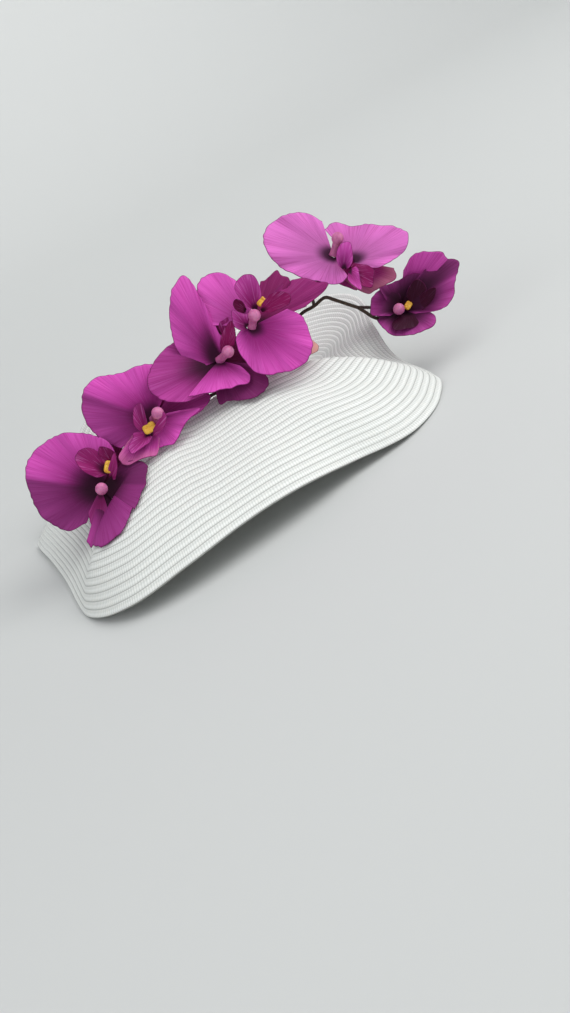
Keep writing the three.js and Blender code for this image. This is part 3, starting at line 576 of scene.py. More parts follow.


# The dark numbers below are painted shade: on halves that turn from the light, on sheets that lie in the
# shadow of others, and in the hollow of the heart
BLOOMS = {
    "bloom_1": Bloom((-90, -25, 58), (2.8, -0.7, 12), (6.9, 15.1, 6.5), 80, (4.6, 3.2), (
        Sheet("left_petal", 173, (-108, 75), (27, 34, 38, 43, 49, 54, 58, 56, 52, 49, 44, 39, 27),
              lift=6, curl=-10, fold=(0.24, 0.24), dark=(0.62, 0.12), heart=0.5),
        Sheet("right_petal", 350, (-33, 60), (57, 49, 43, 39, 37, 38, 33, 25),
              lift=4, curl=10, skew=-6, fold=(0.05, 0.05), wine=0.1, dark=(0.76, 0.62), heart=0.7),
        Sheet("sepals", 268, (-9, 47), (41, 48, 57, 63, 69, 68, 56),
              lift=16, curl=6, root=(0, 0, -1.2), dark=(0.52, 0.42), heart=0.5),
        Sheet("sepals", 265, (-20, 26), (20, 27, 31, 30, 24),
              lift=12, root=(0, 0, 0.5), wine=0.5, dark=(0.4, 0.4)),
        Sheet("sepals", 60, (-38, 34), (13, 18, 25, 34, 38, 22),
              lift=-24, root=(0, 0, -2.4), wine=0.8, dark=(0.6, 0.6)),
        Sheet("lip", 160, (-65, 64), (5, 13, 21, 25, 25, 19, 13, 9, 4),
              lift=34, curl=-24, fold=(-0.45, -0.3), root=(6.3, 12, 4), wine=0.7,
              dark=(0.15, 0.25), heart=0.5, wave=0.5),
        Sheet("lip", 120, (-68, 20), (5, 8, 11, 14, 17, 13),
              lift=44, curl=-10, fold=(-0.3, -0.3), root=(9, 17.2, 3), wine=0.8, dark=(0.3, 0.4), wave=0.5),
        Sheet("lip", 74, (-57, 20), (4, 5, 8, 14, 21, 10),
              lift=40, curl=-20, fold=(-0.5, -0.2), root=(7.9, 5.6, 4), wine=0.7,
              dark=(0.2, 0.2), wave=0.5),
    )),
    "bloom_2": Bloom((-33, -10, 80), (4.3, 3.3, 12), (-2.2, -6.9, 7.5), 30, (4.9, 3.7), (
        Sheet("left_petal", 160, (-94, 62), (24, 37, 40, 40, 40, 43, 51, 54, 53, 49, 43, 37, 32),
              lift=12, curl=-8, fold=(0.16, 0.16), dark=(0.46, 0.0), heart=0.42),
        Sheet("right_petal", 338, (-95, 47), (23, 26, 23, 22, 22, 24, 23, 22, 23, 26, 35, 12),
              lift=-12, curl=26, fold=(-0.12, -0.25), dark=(0.15, 0.0), heart=0.4),
        Sheet("sepals", 20, (-35, 42), (9, 18, 34, 45, 40, 28, 16),
              lift=-14, curl=4, root=(0, 0, -1.2), wine=0.3, dark=(0.3, 0.2)),
        Sheet("sepals", 236, (-20, 52), (18, 37, 40, 32, 28, 27, 14),
              lift=8, curl=4, fold=(-0.1, -0.1), root=(0, 0, -1.2), wine=0.35, salmon=0.2, heart=0.6),
        Sheet("sepals", 92, (-49, 30), (14, 18, 20, 20, 16, 8),
              lift=-24, root=(0, 0, -2.4), wine=0.6, dark=(0.4, 0.4)),
        Sheet("lip", 112, (-30, 41), (8, 23, 23, 16, 11, 5),
              lift=46, curl=-14, fold=(-0.6, -0.4), root=(-4.9, -10.7, 4), wine=0.6,
              dark=(0.1, 0.35), wave=0.5),
        Sheet("lip", 48, (-36, 8), (6, 9, 14, 18, 21, 22),
              lift=42, curl=-20, fold=(-0.4, -0.2), root=(-2.2, -12.7, 5), wine=0.6,
              dark=(0.2, 0.2), wave=0.5),
        Sheet("lip", 228, (-60, 86), (5, 12, 13, 19, 20, 11, 8, 5, 4, 3),
              lift=20, curl=-10, fold=(-0.4, -0.4), root=(-2.2, -10.1, 5), wine=0.5,
              dark=(0.1, 0.2), wave=0.8),
    )),
    "bloom_3": Bloom((29, 5, 91), (7, 4.7, 11), (6.5, 10.2, 3), 80, (3.6, 2.6), (
        Sheet("left_petal", 130, (-59, 72), (10, 17, 20, 33, 66, 63, 54, 46, 39, 34, 29, 25, 22, 16),
              lift=15, curl=-6, fold=(-0.15, 0.4), dark=(0.24, 0.08), heart=0.5),
        Sheet("right_petal", 262, (-27, 82), (39, 32, 29, 26, 26, 26, 29, 26, 16),
              lift=34, curl=-8, fold=(0.3, 0.3)),
        # A second, dark sheet reaches into the shadow between blooms 3 and 4, with painted shade
        Sheet("right_petal", 290, (-34, 64), (16, 32, 31, 35, 39, 41, 38, 22),
              lift=-2, curl=8, fold=(-0.15, -0.15), root=(0, 0, -0.6), wine=0.4, dark=(0.62, 0.7)),
        Sheet("sepals", 212, (-70, 55), (11, 30, 39, 46, 53, 58, 54, 44, 32, 19, 12),
              lift=20, curl=0, fold=(0.14, 0.14), root=(0, 0, -1.6), wine=0.3, dark=(0.2, 0.35), heart=0.7),
        Sheet("sepals", 30, (-43, 100), (22, 30, 30, 26, 25, 28, 32, 30, 20),
              lift=-24, root=(0, 0, -2.6), wine=0.8, dark=(0.6, 0.6)),
        Sheet("lip", 78, (-33, 64), (10, 17, 25, 17, 10, 6, 4),
              lift=38, curl=-14, fold=(-0.3, -0.3), root=(4.9, 4.3, 4), wine=0.9,
              dark=(0.2, 0.2), wave=0.4),
        Sheet("lip", 100, (-35, 36), (5, 14, 12, 11, 8, 4),
              lift=40, curl=-6, fold=(-0.2, -0.2), root=(3.9, 18.3, 1), wine=0.6,
              dark=(0.1, 0.1), wave=0.5),
    )),
    "bloom_4": Bloom((61, -1, 104), (2.3, 6, 10), (7.1, 16.5, 7), 50, (3.6, 2.2), (
        Sheet("left_petal", 144, (-51, 30), (16, 33, 40, 50, 54, 54, 50, 46, 42, 34),
              lift=-18, curl=6, fold=(0.24, 0.24), wine=-0.05),
        Sheet("right_petal", 312, (-110, 74), (9, 14, 17, 21, 25, 32, 37, 39, 44, 47, 46, 41, 37, 29),
              lift=4, curl=-6, fold=(0.05, 0.05), heart=0.26),
        Sheet("sepals", 18, (5, 45), (44, 67, 60, 53, 42, 22),
              lift=-16, curl=4, fold=(0.12, 0.12), root=(0, 0, -1.6), wine=0.6, dark=(0.3, 0.1)),
        Sheet("sepals", 62, (-11, 18), (46, 48, 47, 49, 40, 37),
              lift=-22, curl=10, root=(0, 0, -2.6), wine=0.7, dark=(0.4, 0.4)),
        Sheet("sepals", 340, (-8, 16), (30, 46, 51, 52, 45, 28),
              lift=-16, curl=2, root=(0, 0, -2.8), salmon=1.0),
        Sheet("lip", 120, (-54, 31), (6, 15, 24, 27, 26, 22, 10),
              lift=42, curl=-16, fold=(-0.35, -0.35), root=(3.3, 10.2, 4), wine=0.4,
              dark=(0.1, 0.1), wave=0.5),
        Sheet("lip", 30, (-34, 38), (10, 23, 26, 21, 14, 6),
              lift=40, curl=-14, fold=(-0.35, -0.35), root=(6.2, 9.4, 6), wine=0.9,
              dark=(0.2, 0.2), wave=0.5),
        Sheet("lip", 150, (-30, 53), (8, 12, 12, 10, 7, 5),
              lift=30, curl=-10, fold=(-0.3, -0.3), root=(-2.9, 10.4, 3), wine=1.0,
              dark=(0.6, 0.6), wave=0.5),
        Sheet("lip", 140, (-65, 72), (8, 11, 10, 12, 17, 14, 12, 10, 7, 5),
              lift=24, curl=-10, fold=(-0.2, -0.2), root=(-2.1, -1.1, 3), wine=0.4,
              dark=(0.3, 0.3), wave=0.6),
    )),
    "bloom_5": Bloom((140, 23, 115), (2.6, 10.7, 8), (7.3, -5.9, 2.5), 80, (3.6, 2.6), (
        # The paler pink of these petals is partly painted light where they face the lamps
        Sheet("left_petal", 182, (-74, 122), (27, 38, 45, 52, 54, 49, 40, 32, 27, 23, 21, 21, 21, 21, 19),
              lift=-2, curl=4, fold=(0.16, 0.14), wine=-0.18, heart=0.3),
        Sheet("right_petal", 12, (-38, 118), (8, 20, 29, 41, 46, 41, 35, 31, 27, 26, 29, 32, 31),
              lift=-4, curl=6, fold=(0.1, 0.1), root=(13.5, -4.2, 0.9), wine=-0.2, heart=0.34),
        Sheet("sepals", 335, (-36, 17), (20, 29, 38, 41, 45, 50, 47),
              lift=-12, curl=4, fold=(0.12, 0.12), root=(0, 0, -1.6), wine=0.7, salmon=0.25,
              dark=(0.1, 0.3)),
        Sheet("sepals", 300, (-28, 17), (14, 19, 22, 25, 30, 26),
              lift=-12, curl=2, root=(0, 0, -2.4), wine=0.7, dark=(0.3, 0.3)),
        Sheet("sepals", 60, (-98, 20), (8, 12, 20, 27, 26, 20, 14),
              lift=-20, curl=2, root=(0, 0, -2.8), wine=0.5, dark=(0.3, 0.3)),
        Sheet("lip", 90, (-58, 49), (5, 9, 13, 20, 20, 16, 11, 6),
              lift=36, curl=-16, fold=(-0.4, -0.4), root=(7.5, -11.8, 4), dark=(0.25, 0.1), wave=0.4),
        Sheet("lip", 322, (-22, 97), (15, 24, 21, 19, 14, 9, 7, 6),
              lift=16, curl=6, fold=(-0.3, -0.3), root=(11, -10.7, 2), wine=0.8, dark=(0.3, 0.3), wave=0.6),
        Sheet("lip", 305, (-38, 77), (8, 13, 19, 12, 9, 8, 7, 6),
              lift=24, curl=-10, fold=(-0.3, -0.3), root=(10.8, -11.3, 4), wine=0.35,
              dark=(0.1, 0.1), wave=0.6),
    )),
    # Bloom 6 is a half-open cup: painted shade reaches far out on its sheets, and its wine lips are painted
    # almost black as the shade inside the cup
    "bloom_6": Bloom((174, 32, 51), (-2.6, -3, 10), (4.9, 0.4, 7), 60, (3.4, 2.6), (
        Sheet("left_petal", 150, (-52, 63), (9, 18, 20, 22, 24, 24, 25, 12),
              lift=56, curl=-56, fold=(-0.2, -0.2), dark=(0.05, 0.75), heart=1.3),
        Sheet("right_petal", 30, (-73, 34), (10, 12, 16, 34, 42, 46, 55, 43, 18),
              lift=44, curl=-30, dark=(0.6, 0.2), heart=1.35),
        Sheet("sepals", 104, (-50, 51), (30, 28, 24, 22, 22, 25, 14),
              lift=50, curl=-30, fold=(-0.2, -0.2), root=(0, 0, -1.2), dark=(0.5, 0.7), heart=1.35),
        Sheet("sepals", 60, (-14, 25), (52, 54, 50, 47, 42, 30),
              lift=26, curl=4, root=(0, 0, -3), dark=(0.05, 0.15)),
        Sheet("sepals", 285, (-110, 98), (12, 17, 21, 23, 26, 29, 28, 29, 30, 32, 29, 19, 15, 13),
              lift=44, curl=-14, fold=(-0.2, -0.2), root=(0, 0, -1.2), dark=(0.2, 0.2), heart=1.35),
        Sheet("lip", 60, (-24, 55), (10, 18, 21, 21, 15, 9),
              lift=50, curl=-20, fold=(-0.4, -0.4), root=(8.3, -0.1, 4), wine=1.0,
              dark=(0.92, 0.92), wave=0.6),
        Sheet("lip", 20, (-24, 50), (8, 12, 19, 23, 15, 8),
              lift=46, curl=-10, fold=(-0.4, -0.4), root=(10.2, -2.3, 5), wine=1.0,
              dark=(0.9, 0.9), wave=0.6),
        Sheet("lip", 280, (-77, 57), (8, 18, 23, 19, 17, 16, 13, 9, 6),
              lift=40, curl=-10, fold=(-0.4, -0.4), root=(6.3, -4.1, 4), wine=1.0,
              dark=(0.92, 0.92), wave=0.6),
    )),
}
print("sheets of silk:", sum(len(bloom.sheets) for bloom in BLOOMS.values()))

# %% [markdown]
# ## Silk finishes
# Coated silk is matt with a soft sheen at a low angle. Its colour is never even: fine creases and pale
# streaks fan out from the heart, the cloth is deeper towards the heart, some sheets turn to wine or to
# salmon at the tip, and the cut edge shows as a thin dark line. Shade is painted into the colour too:
# painted shade on halves that turn from the light, on sheets in the shadow of others and in the hollow
# of the heart, and a paler pink on some sheets, partly their own and partly painted light where they
# face the lamps. The mesh stores for each corner how far round the rim it lies, how far out, and how
# far in from the rim, so that noise stretched along the ribs draws the creases. The tints shift the
# noise too, so sheets differ.

# %% Silk material
SILK_BRIGHT = paint_colour(222, 86, 190)
SILK_MAGENTA = paint_colour(202, 66, 166)
SILK_DEEP = paint_colour(150, 34, 120)
SILK_WINE = paint_colour(146, 14, 90)
SILK_PAINTED_SHADE = paint_colour(32, 2, 20)
SILK_PALE = paint_colour(236, 142, 218)
SILK_SALMON = paint_colour(228, 168, 158)
SILK_EDGE = paint_colour(92, 14, 68)
SILK_SHEEN = paint_colour(240, 170, 226)
# Broad shades of the cloth are this much wider than its creases
BROAD = 8


def silk_material(name, sheen, crease_pitch, crease_strength, streak_strength):
    """Coated cloth with creases that lie a pitch apart, in millimetres along the rim."""
    board = Board(name, Roughness=0.62, Specular_IOR_Level=0.14, Sheen_Weight=sheen, Sheen_Roughness=0.5,
                  Sheen_Tint=SILK_SHEEN)
    round_rim, outward, inward = board.split("marks")
    wine, dark, salmon = board.split("tint")
    crease = board.noise(board.join(round_rim / crease_pitch, outward * 1.6, wine * 9.0))
    broad_place = board.join(round_rim / (crease_pitch * BROAD), outward * 1.8, dark * 2.0)
    broad = board.noise(broad_place, detail=1.0)
    cloth = board.mix(board.ramp(broad, 0.3, 0.7, 0.0, 0.3), SILK_BRIGHT, SILK_MAGENTA)
    cloth = board.mix(board.ramp(outward, 1.0, 0.2), cloth, SILK_DEEP)
    cloth = board.mix(board.ramp(wine, 0.0, 1.0), cloth, SILK_WINE)
    # Below zero, wine pales the cloth: partly its own pale pink, partly painted light on sheets that face
    # the lamps
    cloth = board.mix(board.ramp(0.0 - wine, 0.0, 0.2, 0.0, 0.5), cloth, SILK_PALE)
    reach = board.ramp(outward, 0.08, 0.35)
    cloth = board.mix(board.ramp(crease, 0.5, 0.7) * reach * crease_strength, cloth, SILK_WINE)
    cloth = board.mix(board.ramp(crease, 0.46, 0.3) * reach * streak_strength, cloth, SILK_PALE)
    cloth = board.mix(salmon * board.ramp(outward, 0.7, 0.95), cloth, SILK_SALMON)
    # Painted shade: on halves that turn from the light, on sheets in shadow and in the hollow of the heart
    cloth = board.mix(dark, cloth, SILK_PAINTED_SHADE)
    board.paint("Base Color", board.mix(board.ramp(inward, 0.6, 0.2, 0.0, 0.7), cloth, SILK_EDGE))
    board.paint("Roughness", board.ramp(crease, 0.2, 0.8, 0.52, 0.7))
    board.bump(crease * reach, 0.3 * MM, 0.6)
    return board.material


petal_silk = silk_material("petal silk", 0.05, 0.7, 0.34, 0.1)
sepal_silk = silk_material("sepal silk", 0.04, 0.7, 0.34, 0.14)
lip_silk = silk_material("lip silk", 0.02, 1.1, 0.4, 0.35)
print("nodes in the petal silk:", len(petal_silk.node_tree.nodes))

# %% [markdown]
# ## Sheets from fans
# The rim is a smooth line through the tips of the ribs, and points between the root and that line make
# the grid. The grid is then bent as the sheet is: it rises and curls along its length, falls away on
# both sides of a soft mid fold, turns about its own axis and is set in its bloom. Near the rim it
# waves a little. Where a sheet would dip into the braid it is laid on top.

# %% The way that things face
BLOOM_RISE, BLOOM_LEAN = 28.0, 28.0


def tilted_axes(rise, lean):
    """The right, the up and the way to the front of a thing that is tilted, as columns."""
    rise, lean = math.radians(rise), math.radians(lean)
    facing = np.array([0.0, -math.cos(rise), math.sin(rise)])
    level = np.array([0.0, math.sin(rise), math.cos(rise)])
    ahead = np.array([1.0, 0.0, 0.0])
    right = math.cos(lean) * ahead - math.sin(lean) * level
    up = math.sin(lean) * ahead + math.cos(lean) * level
    return np.stack([right, up, facing], axis=1)


# Every bloom faces the same way
AXES = tilted_axes(BLOOM_RISE, BLOOM_LEAN)
print("the blooms face", AXES[:, 2].round(2))

# %% Bending a sheet
SOFT_FOLD = 1.6
CLEARANCE = 2.6
EASE = 6.0


def bend_sheet(flat, sheet):
    """Flat points, along the midline and across it, to places in the bloom."""
    x, y = flat[..., 0], flat[..., 1]
    part = np.clip(x / max(sheet.ribs), 0, 1.3)
    tilt = np.radians(np.where(x > 0, sheet.lift + sheet.curl * part, 0.0))
    along = x * np.cos(tilt)
    height = x * np.sin(tilt)
    side = np.sqrt(y**2 + SOFT_FOLD**2) - SOFT_FOLD
    height = height - np.where(y > 0, *sheet.fold) * side * np.minimum(part, 1.0)
    turn = math.radians(sheet.skew)
    across = y * math.cos(turn) - height * math.sin(turn)
    height = y * math.sin(turn) + height * math.cos(turn)
    turn = math.radians(sheet.angle)
    placed = np.stack([along * math.cos(turn) - across * math.sin(turn),
                       along * math.sin(turn) + across * math.cos(turn), height], -1)
    return placed + np.array(sheet.root)


def lay_on_braid(points):
    """Points with those that would dip into the braid raised gently above it."""
    short = braid_height(points[..., 0], points[..., 1]) + CLEARANCE - points[..., 2]
    raised = points.copy()
    raised[..., 2] += np.where(short > EASE, short, np.maximum(short + EASE, 0) ** 2 / (4 * EASE))
    return raised


# %% Rim of a sheet
RIM_SPACING = 0.9
FRAY = 0.006
# Waves of the rim: how long and how high each is
WAVES = ((37.0, 1.2), (21.0, 0.8), (11.0, 0.25), (5.2, 0.06))


def rim_waves(walked, draw):
    """A gentle wave along a rim, different for each sheet."""
    wave = np.zeros_like(walked)
    for length, size in WAVES:
        wave += size * np.sin(2 * np.pi * walked / length + draw.uniform(0, 2 * np.pi))
    return wave


def fan_rim(sheet, draw):
    """The rim of a sheet: evenly spaced flat points and how far along the rim each one is."""
    turns = np.radians(np.linspace(*sheet.fan, len(sheet.ribs)))
    tips = np.array(sheet.ribs)[:, None] * np.stack([np.cos(turns), np.sin(turns)], -1)
    rim, walked = smooth_line(tips, RIM_SPACING)
    ripple = np.sin(walked * 0.7 + draw.uniform(0, 6) + 2 * np.sin(walked * 0.23))
    return rim * (1 + FRAY * sheet.wave * ripple)[:, None], walked


# %% One sheet of silk
SILK_WALL = 0.4
SHEET_START = 1.5
STEPS_OUT = 30
# Painted shade: how softly the two halves blend, in millimetres, and how softly and how darkly the hollow of
# the heart is painted
DARK_BLEND = 5.0
HEART_BLEND = 0.75
HEART_DARK = 0.92


def smooth_step(value):
    """From 0 to 1 as the value does, eased at both ends."""
    value = np.clip(value, 0, 1)
    return value * value * (3 - 2 * value)


def silk_sheet(shape, place, sheet, seed):
    """Adds one sheet: a flat fan, bent, set in its bloom and laid on the braid."""
    draw = np.random.default_rng(seed)
    rim, walked = fan_rim(sheet, draw)
    inner = rim / np.linalg.norm(rim, axis=1, keepdims=True) * SHEET_START
    outward = np.linspace(0, 1, STEPS_OUT)[:, None]
    flat = inner[None] + outward[..., None] * (rim - inner)[None]
    local = bend_sheet(flat, sheet)
    local[..., 2] += rim_waves(walked, draw) * sheet.wave * outward**3
    world = lay_on_braid(local @ AXES.T + np.array(place))
    # Painted shade of each half of the sheet, and of the hollow of the heart near its root
    left, right = sheet.dark
    side = right + (left - right) * smooth_step(flat[..., 1] / DARK_BLEND + 0.5)
    heart = HEART_DARK * smooth_step((1 - outward / sheet.heart) / HEART_BLEND)
    marks = np.empty((*flat.shape[:2], MARK_COUNT))
    marks[..., 0] = walked[None]
    marks[..., 1] = outward
    marks[..., 2] = np.linalg.norm(rim - inner, axis=1)[None] * (1 - outward)
    marks[..., 3] = sheet.wine
    marks[..., 4] = 1 - (1 - side) * (1 - heart)
    marks[..., 5] = sheet.salmon
    shape.add_sheet(world, SILK_WALL, marks)


# %% Petals, sepals and lips
FINISHES = {
    "left_petal": (petal_silk, "petal_silk"),
    "right_petal": (petal_silk, "petal_silk"),
    "sepals": (sepal_silk, "sepal_silk"),
    "lip": (lip_silk, "lip_silk"),
}


def add_blooms():
    """The four silk pieces of each bloom. Every sheet draws its waves from its own seed."""
    seed = 0
    for name, bloom in BLOOMS.items():
        for piece, (material, slot) in FINISHES.items():
            shape = Shape()
            for sheet in bloom.sheets:
                if sheet.piece == piece:
                    seed += 1
                    silk_sheet(shape, bloom.place, sheet, seed)
            shape.piece(f"{name}_silk_{piece}", material, slot, f"{name}_{piece}")


add_blooms()

# %% [markdown]
# ## Columns, calluses and stem
# The column and the callus are small mouldings of soft plastic, and the stem is wire wound with paper
# tape. The column is turned from a profile, the callus is a rounded block with two grooves and fine
# pits, and the stem is a tube swept along its bends, with a slow spiral of tape as a bump.

# %% Moulded plastic
def plastic_material(name, colour, shade, pit_size, pit_depth):
    """Soft plastic with a blotchy tone, darker at its foot, and fine pits."""
    board = Board(name, Roughness=0.45, Specular_IOR_Level=0.4, Subsurface_Weight=0.12,
                  Subsurface_Scale=3 * MM)
    place = board.place()
    blotch = board.noise(place, scale=220.0, detail=3.0)
    pits = board.node("ShaderNodeTexVoronoi", {}, {"Vector": place, "Scale": 1.0 / pit_size})
    toned = board.mix(board.ramp(blotch, 0.35, 0.7, 0.0, 0.6), colour, shade)
    height = board.split("marks")[1]
    board.paint("Base Color", board.mix(board.ramp(height, 0.55, 0.0, 0.0, 0.75), toned, shade))
    board.paint("Roughness", board.ramp(blotch, 0.3, 0.7, 0.38, 0.55))
    board.bump(pits, pit_depth, 0.6)
    return board.material


column_plastic = plastic_material(
    "column plastic", paint_colour(212, 124, 170), paint_colour(168, 66, 128), 1.4 * MM, 0.15 * MM)
callus_plastic = plastic_material(
    "callus plastic", paint_colour(238, 186, 66), paint_colour(214, 140, 40), 1.1 * MM, 0.5 * MM)

# %% Turned columns
KNOB_RADIUS = 4.5
KNOB_STEPS = 16
KNOB_TOP = 0.08
STALK_RADIUS = 2.9
# The stalk widens at its foot: by how much, at which height
FOOT = ((0.9, 0.6), (0.4, 1.4))
COLUMN_SIDES = 28


def upright_at(place, direction):
    """A matrix that sets a turned solid in a bloom, with its axis along a direction there."""
    axis = Vector(AXES @ np.array(direction, dtype=float))
    return Matrix.Translation(Vector(place)) @ axis.to_track_quat("Z", "Y").to_matrix().to_4x4()


def turned_rings(profile, place, sides):
    """Rings of a turned solid from its radius and height at each step."""
    spin = np.linspace(0, 2 * np.pi, sides, endpoint=False)
    ring = np.stack([np.cos(spin), np.sin(spin), np.zeros(sides)], -1)
    profile = np.array(profile)
    flat = ring[None] * profile[:, :1, None] + np.array([0, 0, 1]) * profile[:, 1:, None]
    return flat @ np.array(place.to_3x3()).T + np.array(place.translation)


def add_column(bloom, place, knob):
    """A stalk with a round knob, which lies at a place that is measured from the heart."""
    length = math.sqrt(sum(value * value for value in knob))
    top = length + KNOB_RADIUS
    joint = math.asin(STALK_RADIUS / KNOB_RADIUS)
    neck = length - KNOB_RADIUS * math.cos(joint)
    profile = [(STALK_RADIUS + wider, height) for wider, height in FOOT]
    profile.append((STALK_RADIUS, neck * 0.5))
    for turn in np.linspace(math.pi - joint, KNOB_TOP, KNOB_STEPS):
        profile.append((KNOB_RADIUS * math.sin(turn), length + KNOB_RADIUS * math.cos(turn)))
    matrix = upright_at(place, knob)
    ends = [np.array(matrix @ Vector((0, 0, height))) for height in (FOOT[0][1], top)]
    along = np.array([height for radius, height in profile]) / top
    shape = Shape()
    shape.add_rings(turned_rings(profile, matrix, COLUMN_SIDES), ends, along)
    shape.piece(f"{bloom}_turned_column", column_plastic, "column_plastic", f"{bloom}_column")


# %% Moulded calluses
CALLUS_HALF = 1.9
CALLUS_TILT = 1.5
CALLUS_RINGS = 20
CALLUS_SIDES = 40


def rounded(value, power):
    """A sine or cosine squared off, for blocks with rounded corners."""
    return np.sign(value) * np.abs(value) ** power


def add_callus(bloom, place, offset, turn, size):
    """A rounded block with a groove along its top and a shorter one across it."""
    long_half, short_half = size
    tilt = np.linspace(-CALLUS_TILT, CALLUS_TILT, CALLUS_RINGS)[:, None]
    spin = np.linspace(0, 2 * np.pi, CALLUS_SIDES, endpoint=False)[None, :]
    x = long_half * rounded(np.cos(tilt), 0.5) * rounded(np.cos(spin), 0.55)
    y = short_half * rounded(np.cos(tilt), 0.5) * rounded(np.sin(spin), 0.55)
    groove = 0.55 * np.exp(-((y / 0.9) ** 2)) + 0.35 * np.exp(-(((x - 1.2) / 0.7) ** 2))
    z = CALLUS_HALF * rounded(np.sin(tilt), 0.6) - groove * (tilt > 0)
    cosine, sine = math.cos(math.radians(turn)), math.sin(math.radians(turn))
    local = np.stack([x * cosine - y * sine, x * sine + y * cosine, z], -1)
    world = (local + np.array(offset)) @ AXES.T + np.array(place)
    shape = Shape()
    shape.add_rings(world, world[[0, -1]].mean(axis=1), np.ones(CALLUS_RINGS))
    shape.piece(f"{bloom}_moulded_callus", callus_plastic, "callus_plastic", f"{bloom}_callus")


for name, bloom in BLOOMS.items():
    add_column(name, bloom.place, bloom.knob)
    add_callus(name, bloom.place, bloom.callus, bloom.callus_turn, bloom.callus_size)

# %% Taped wire
TAPE_TURNS = 0.22


def stem_material():
    """Paper tape wound round a wire, with fine fibres along it."""
    board = Board("taped wire", Roughness=0.55, Specular_IOR_Level=0.35)
    round_stem, along = board.split("marks")[:2]
    turns = board.sine((along * TAPE_TURNS + round_stem) * TURN)
    fibre = board.noise(board.join(round_stem * 9.0, along * 0.5), detail=3.0)
    tone = board.mix(board.ramp(fibre, 0.3, 0.7), paint_colour(44, 33, 26), paint_colour(74, 56, 42))
    edge = board.ramp(turns, 0.8, 1.0, 0.0, 0.5)
    board.paint("Base Color", board.mix(edge, tone, paint_colour(28, 20, 16)))
    board.paint("Roughness", board.ramp(fibre, 0.3, 0.7, 0.45, 0.7))
    board.bump(turns * 0.6 + fibre, 0.25 * MM, 0.8)
    return board.material


# %% Rods along a line
STEM_RADIUS = 1.3
TUBE_SIDES = 16
TUBE_SPACING = 1.2
TUBE_DOME = 0.3


def add_tube(shape, points):
    """A round rod along a smooth line, with slightly domed ends."""
    line, walked = smooth_line(points, TUBE_SPACING)
    tangent = np.gradient(line, axis=0)
    tangent /= np.linalg.norm(tangent, axis=1, keepdims=True)
    side = np.cross(tangent, AXES[:, 1])
    side /= np.linalg.norm(side, axis=1, keepdims=True)
    other = np.cross(tangent, side)
    spin = np.linspace(0, 2 * np.pi, TUBE_SIDES, endpoint=False)
    ring = side[:, None] * np.cos(spin)[None, :, None] + other[:, None] * np.sin(spin)[None, :, None]
    ends = np.stack([line[0] - TUBE_DOME * tangent[0], line[-1] + TUBE_DOME * tangent[-1]])
    shape.add_rings(line[:, None] + STEM_RADIUS * ring, ends, walked)


# %% Route of the stem
STEM_SEAT = 1.9
HUB_DEPTH = 4.3
# The direction and the part of the way out of each point on the ridge
STEM_ON_RIDGE = ((160, 0.56), (160, 0.38), (160, 0.2), (160, 0.0), (355, 0.16), (355, 0.3), (355, 0.4))
STEM_FREE = (
    (84, 17, 80), (99, 20, 88), (111, 20, 89), (121, 20, 91), (127, 20, 86), (135, 20, 78), (141, 20, 72))
STEM_FORK = ((141, 20, 72), (146, 25, 64), (151, 28, 56), (160, 35, 47))


def ridge_point(turn, part):
    """The middle of the stem where it lies on the braid."""
    reach = float(section_value("reach", np.array(float(turn)))) * part
    height = float(section_height(np.array(float(turn)), np.array(float(part)))) + STEM_SEAT
    angle = math.radians(turn)
    return (BASE_CENTRE[0] + reach * math.cos(angle), BASE_CENTRE[1] + reach * math.sin(angle), height)


def heart_back(bloom):
    """Where a stalk ends, behind the heart of its bloom."""
    return tuple(np.array(BLOOMS[bloom].place) + AXES @ np.array([0.0, 0.0, -HUB_DEPTH]))


# Where the stalk of each bloom leaves the stem, and where it bends
STALKS = {
    "bloom_1": (ridge_point(160, 0.38), (-88, 10, 62)),
    "bloom_2": (ridge_point(160, 0.2), (-34, 8, 76)),
    "bloom_3": (ridge_point(355, 0.16), (24, 16, 82)),
    "bloom_4": (ridge_point(355, 0.4), (60, 14, 92)),
    "bloom_5": (STEM_FREE[2], (117, 31, 95)),
    "bloom_6": (STEM_FORK[0], (155, 38, 60)),
}


def add_stem():
    """The stem, its fork and the six stalks, as one piece."""
    shape = Shape()
    main = [ridge_point(turn, part) for turn, part in STEM_ON_RIDGE] + list(STEM_FREE)
    add_tube(shape, main)
    add_tube(shape, STEM_FORK)
    for bloom, (start, bend) in STALKS.items():
        add_tube(shape, (start, bend, heart_back(bloom)))
    shape.piece("taped_wire_stem", stem_material(), "stem_wire", "stem")


add_stem()

# %% [markdown]
# ## Hair comb
# A comb is sewn under the front of the braid and holds the hat in the hair. It is moulded in one piece:
# a flat spine with rounded edges and thirteen teeth that narrow to blunt tips. Both are the same rounded
# bar in different sizes, so one function draws them, first lying flat and then tilted with the braid.

# %% Moulded comb
COMB_SLOPE = math.radians(20.0)
COMB_LENGTH, COMB_DEPTH, COMB_THICK = 64.0, 7.0, 2.6
TOOTH_COUNT, TOOTH_LENGTH, TOOTH_WIDTH, TOOTH_THICK = 13, 30.0, 1.8, 1.6
TOOTH_TIP = 0.55
BAR_RINGS = 26
BAR_SIDES = 20
BLUNT_END = 0.25
comb_plastic = plastic_material(
    "comb plastic", paint_colour(228, 228, 221), paint_colour(206, 207, 200), 2.4 * MM, 0.03 * MM)


